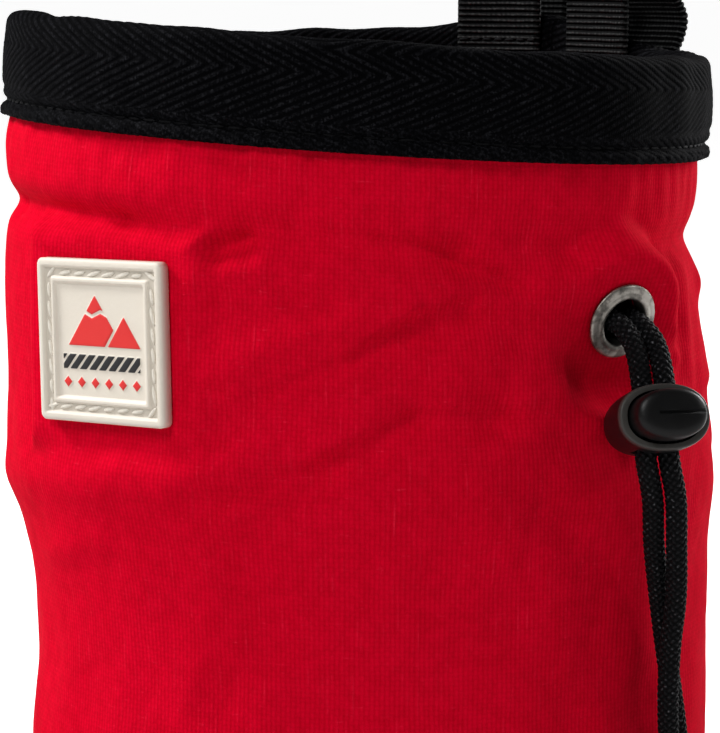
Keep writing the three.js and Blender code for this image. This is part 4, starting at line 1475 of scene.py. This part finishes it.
def plastic_finish(name, low, high, lip_from=1.0):
    """Black plastic, painted a lighter satin grey beyond a place along the slide as a painted highlight on
    the lip.
    """
    plastic = Finish(name, Specular_IOR_Level=0.24)
    _, along = plastic.surface()
    grain = plastic.noise(plastic.place(), 2400, 3, 0.55)
    cloud = plastic.noise(plastic.place(), 240, 3, 0.5)
    scuff = plastic.noise(plastic.place(), 900, 4, 0.7).ramp(0.62, 0.8)
    colour = plastic.blend(cloud * 0.8 + scuff * 0.2, low, high)
    # painted highlight: the cup's front lip is painted satin grey, standing in for light on its rim
    lip = along.ramp(lip_from, lip_from + 0.0008) * (0.5 + 0.5 * cloud)
    colour = plastic.blend(lip, colour, (0.065, 0.061, 0.056, 1))
    roughness = 0.36 + 0.12 * cloud + 0.1 * scuff
    return plastic.finish(colour, roughness, grain * 0.7 + cloud * 0.3, 0.00003)


cord_room = cord_diameter / 2 + slide_gap
slot_half = cord_spacing / 2 + cord_diameter / 2 + slide_gap
casing_length = casing_back + casing_front
casing_profile = evenly(rounded([
    (-casing_back, 0.35),
    (-casing_back, 0.72),
    (-casing_back + 0.05 * casing_length, 0.84),
    (-casing_back + 0.2 * casing_length, 0.95),
    (-casing_back + 0.5 * casing_length, 1.0),
    (casing_front - 0.002, 1.01),
    (casing_front - 0.0004, 1.0),
    (casing_front, 0.975),
    (casing_front, 0.93),
]) * [1, 0.01], 0.0003) / [1, 0.01]
casing_bore = np.array([(casing_floor - casing_back, 1.0), (casing_front + 0.001, 1.0)])
toggle_casing = oval_body(
    "toggle_casing", casing_width, casing_height, casing_profile,
    plastic_finish(
        "toggle_black", (0.002, 0.002, 0.0022, 1), (0.005, 0.005, 0.0055, 1),
        lip_from=casing_front - 0.0014,
    ),
)
casing_cutters = [
    oval_body("bore", button_width + 2 * slide_gap, button_height + 2 * slide_gap, casing_bore, None),
    block("slot", (-slot_half, -cord_room, -0.02), (slot_half, cord_room, 0.02)),
]
cut(toggle_casing, casing_cutters)
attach(toggle_casing, "bag")
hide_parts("toggle_casing")

button_face = casing_front + button_stand_out
button_heel = -cord_room - 0.0011
button_profile = evenly(rounded([
    (button_heel, 0.9),
    (button_heel, 0.97),
    (button_heel + 0.0005, 1.0),
    (button_face - 0.0022, 1.0),
    (button_face - 0.0009, 0.97),
    (button_face - 0.0002, 0.80),
    (button_face, 0.45),
    (button_face, 0.2),
]) * [1, 0.01], 0.0003) / [1, 0.01]
toggle_button = oval_body(
    "toggle_button", button_width, button_height, button_profile,
    plastic_finish("button_black", (0.0018, 0.0018, 0.0019, 1), (0.0042, 0.0042, 0.0045, 1)),
)
slot_spare = 0.0008  # keeps the strands, which lean in the slot, off its end when it is pressed
slot_reach = cord_room + button_travel + slot_spare
button_slot = block("slot", (-slot_half, -cord_room, -0.02), (slot_half, slot_reach, 0.02))
parting = block(
    "parting", (-button_width, button_face - 0.0006, -0.0003), (0.0024, button_face + 0.002, 0.0003)
)
cut(toggle_button, [button_slot, parting])
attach(toggle_button, "button")
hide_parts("toggle_button")

for strand, strand_line in strands:
    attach(strand, "bag")
    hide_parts(strand.name.split(".")[0])


# Stitches
# Black thread holds the tape and the straps, cream thread the label, and crimson thread the base.
# Each stitch is a short sunk bulge of thread, laid along its seam at an even pitch.


def stitches_pattern():
    """Lays stitches along the edges of a mesh, whose points hold the way out of the cloth."""
    tree = Pattern(
        "stitches",
        pitch=float,
        length=float,
        width=float,
        slant=float,
        unevenness=float,
        seed=int,
        finish=bpy.types.Material,
    )
    line = tree.node("GeometryNodeMeshToCurve", values={"Mesh": tree.given("Geometry")})
    spaced = tree.node("GeometryNodeResampleCurve", {"mode": "LENGTH"}, {
        "Curve": line,
        "Length": tree.given("pitch"),
    })
    facing = tree.node("FunctionNodeAxesToRotation", {"primary_axis": "Z", "secondary_axis": "X"}, {
        "Primary Axis": tree.attribute("outward", "FLOAT_VECTOR"),
        "Secondary Axis": tree.node("GeometryNodeInputTangent"),
    })
    ball = tree.node("GeometryNodeMeshUVSphere", values={"Segments": 8, "Rings": 6, "Radius": 0.5})
    soft = tree.node("GeometryNodeSetShadeSmooth", values={"Geometry": ball})
    chance = tree.node("FunctionNodeRandomValue", {"data_type": "FLOAT"}, {
        2: -1.0,
        3: 1.0,
        "Seed": tree.given("seed"),
    }, output=1)
    stretch = 1 + tree.given("unevenness") * chance
    size = tree.node("ShaderNodeCombineXYZ", values=[
        tree.given("length") * stretch,
        tree.given("width"),
        tree.given("width") * 0.8,
    ])
    laid = tree.node("GeometryNodeInstanceOnPoints", values={
        "Points": spaced,
        "Instance": soft,
        "Rotation": facing,
        "Scale": size,
    })
    lean = tree.given("slant") + tree.given("unevenness") * chance * 0.5
    turned = tree.node("GeometryNodeRotateInstances", values={
        "Instances": laid,
        "Rotation": tree.node("ShaderNodeCombineXYZ", values=[0.0, 0.0, lean]),
    })
    return tree.close(turned)


stitches = stitches_pattern()


def thread_finish(name, low, high):
    thread = Finish(name, Specular_IOR_Level=0.05)
    twist = thread.noise(thread.place(), 2600, 2, 0.5)
    colour = thread.blend(twist, low, high)
    return thread.finish(colour, 0.65, twist, 0.00008)


def sew(name, lines, material, pitch, length, width, slant=0.0, seed=1, unevenness=0.12):
    """One object with the stitches of one or more seams. A line is points and ways out."""
    vertices = []
    outward = []
    edges = []
    for points, ways in lines:
        start = len(vertices)
        vertices += points.tolist()
        outward += ways.tolist()
        edges += [(start + i, start + i + 1) for i in range(len(points) - 1)]
    mesh = bpy.data.meshes.new(name)
    mesh.from_pydata(vertices, edges, [])
    stored = mesh.attributes.new("outward", "FLOAT_VECTOR", "POINT")
    stored.data.foreach_set("vector", np.array(outward, np.float32).ravel())
    seam = bpy.data.objects.new(name, mesh)
    bpy.context.scene.collection.objects.link(seam)
    stitches.run(
        seam,
        pitch=pitch,
        length=length,
        width=width,
        slant=slant,
        unevenness=unevenness,
        seed=seed,
        finish=material,
    )
    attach(seam, "bag")
    return seam


black_thread = thread_finish("black_thread", (0.0008, 0.0008, 0.001, 1), (0.007, 0.007, 0.008, 1))
cream_thread = thread_finish("cream_thread", (0.60, 0.55, 0.47, 1), (0.78, 0.74, 0.66, 1))
crimson_thread = thread_finish("crimson_thread", (0.42, 0.003, 0.018, 1), (0.70, 0.01, 0.04, 1))


def round_seam(down, out, way):
    """A seam round the bag, a distance below the top of the rim."""
    turns = np.linspace(0, 360, 361)
    heights = rim_top(turns) - down
    radii = cloth_radius(turns, heights, wrinkled=False) + out
    return polar(turns, radii, heights), way * polar(turns, 1.0, 0.0)


binding_seams = [
    round_seam(groove_at, seat_gap + 0.0006, 1),
    round_seam(binding_inner_depth - 0.0020, tape_in_face - 0.00015, -1),
]
sew("binding_stitches", binding_seams, black_thread, 0.0030, 0.0026, 0.00055, seed=2)

base_seam_height = 0.0052
base_turns = np.linspace(0, 360, 361)
base_radii = cloth_radius(base_turns, np.full(361, base_seam_height)) + 0.00002
base_seam = (polar(base_turns, base_radii, base_seam_height), polar(base_turns, 1.0, 0.0))
sew("base_stitches", [base_seam], crimson_thread, 0.0030, 0.0024, 0.0005, seed=3)


def label_seam():
    """The seam in the label's channel."""
    inset = label_frame + label_channel / 2
    half = (label_width / 2 - inset, label_height / 2 - inset)
    corners = [(-half[0], -half[1]), (half[0], -half[1]), (half[0], half[1]), (-half[0], half[1])]
    line = evenly(np.array(corners + corners[:1]), 0.001)
    lift = 0.68 * label_thickness
    points = on_label(line[:, 0], line[:, 1], lift)
    ways = on_label(line[:, 0], line[:, 1], lift + 1.0) - points
    return points, ways


sew("label_stitches", [label_seam()], cream_thread, 0.0031, 0.0030, 0.0008,
    slant=0.2, seed=6, unevenness=0.2)


def strap_seams(line, turn):
    """Rows of stitches across both sewn ends of a strap."""
    seams = []
    top = float(rim_top(turn))
    for end, way in ((line[0], -1), (line[-1], 1)):
        for down in (0.0035, 0.0115):
            across = np.linspace(-0.42, 0.42, 9) * webbing_width
            turns = turn + np.degrees(across / end[0])
            radius = end[0] + way * (webbing_thickness / 2 + 0.00008)
            seams.append((polar(turns, radius, top - down), way * polar(turns, 1.0, 0.0)))
    return seams


strap_rows = []
for (_, loop_turn, *_), strap_line in zip(belt_loops, loop_lines):
    strap_rows += strap_seams(strap_line, loop_turn)
sew("strap_stitches", strap_rows, black_thread, 0.0021, 0.0019, 0.0006, seed=8)
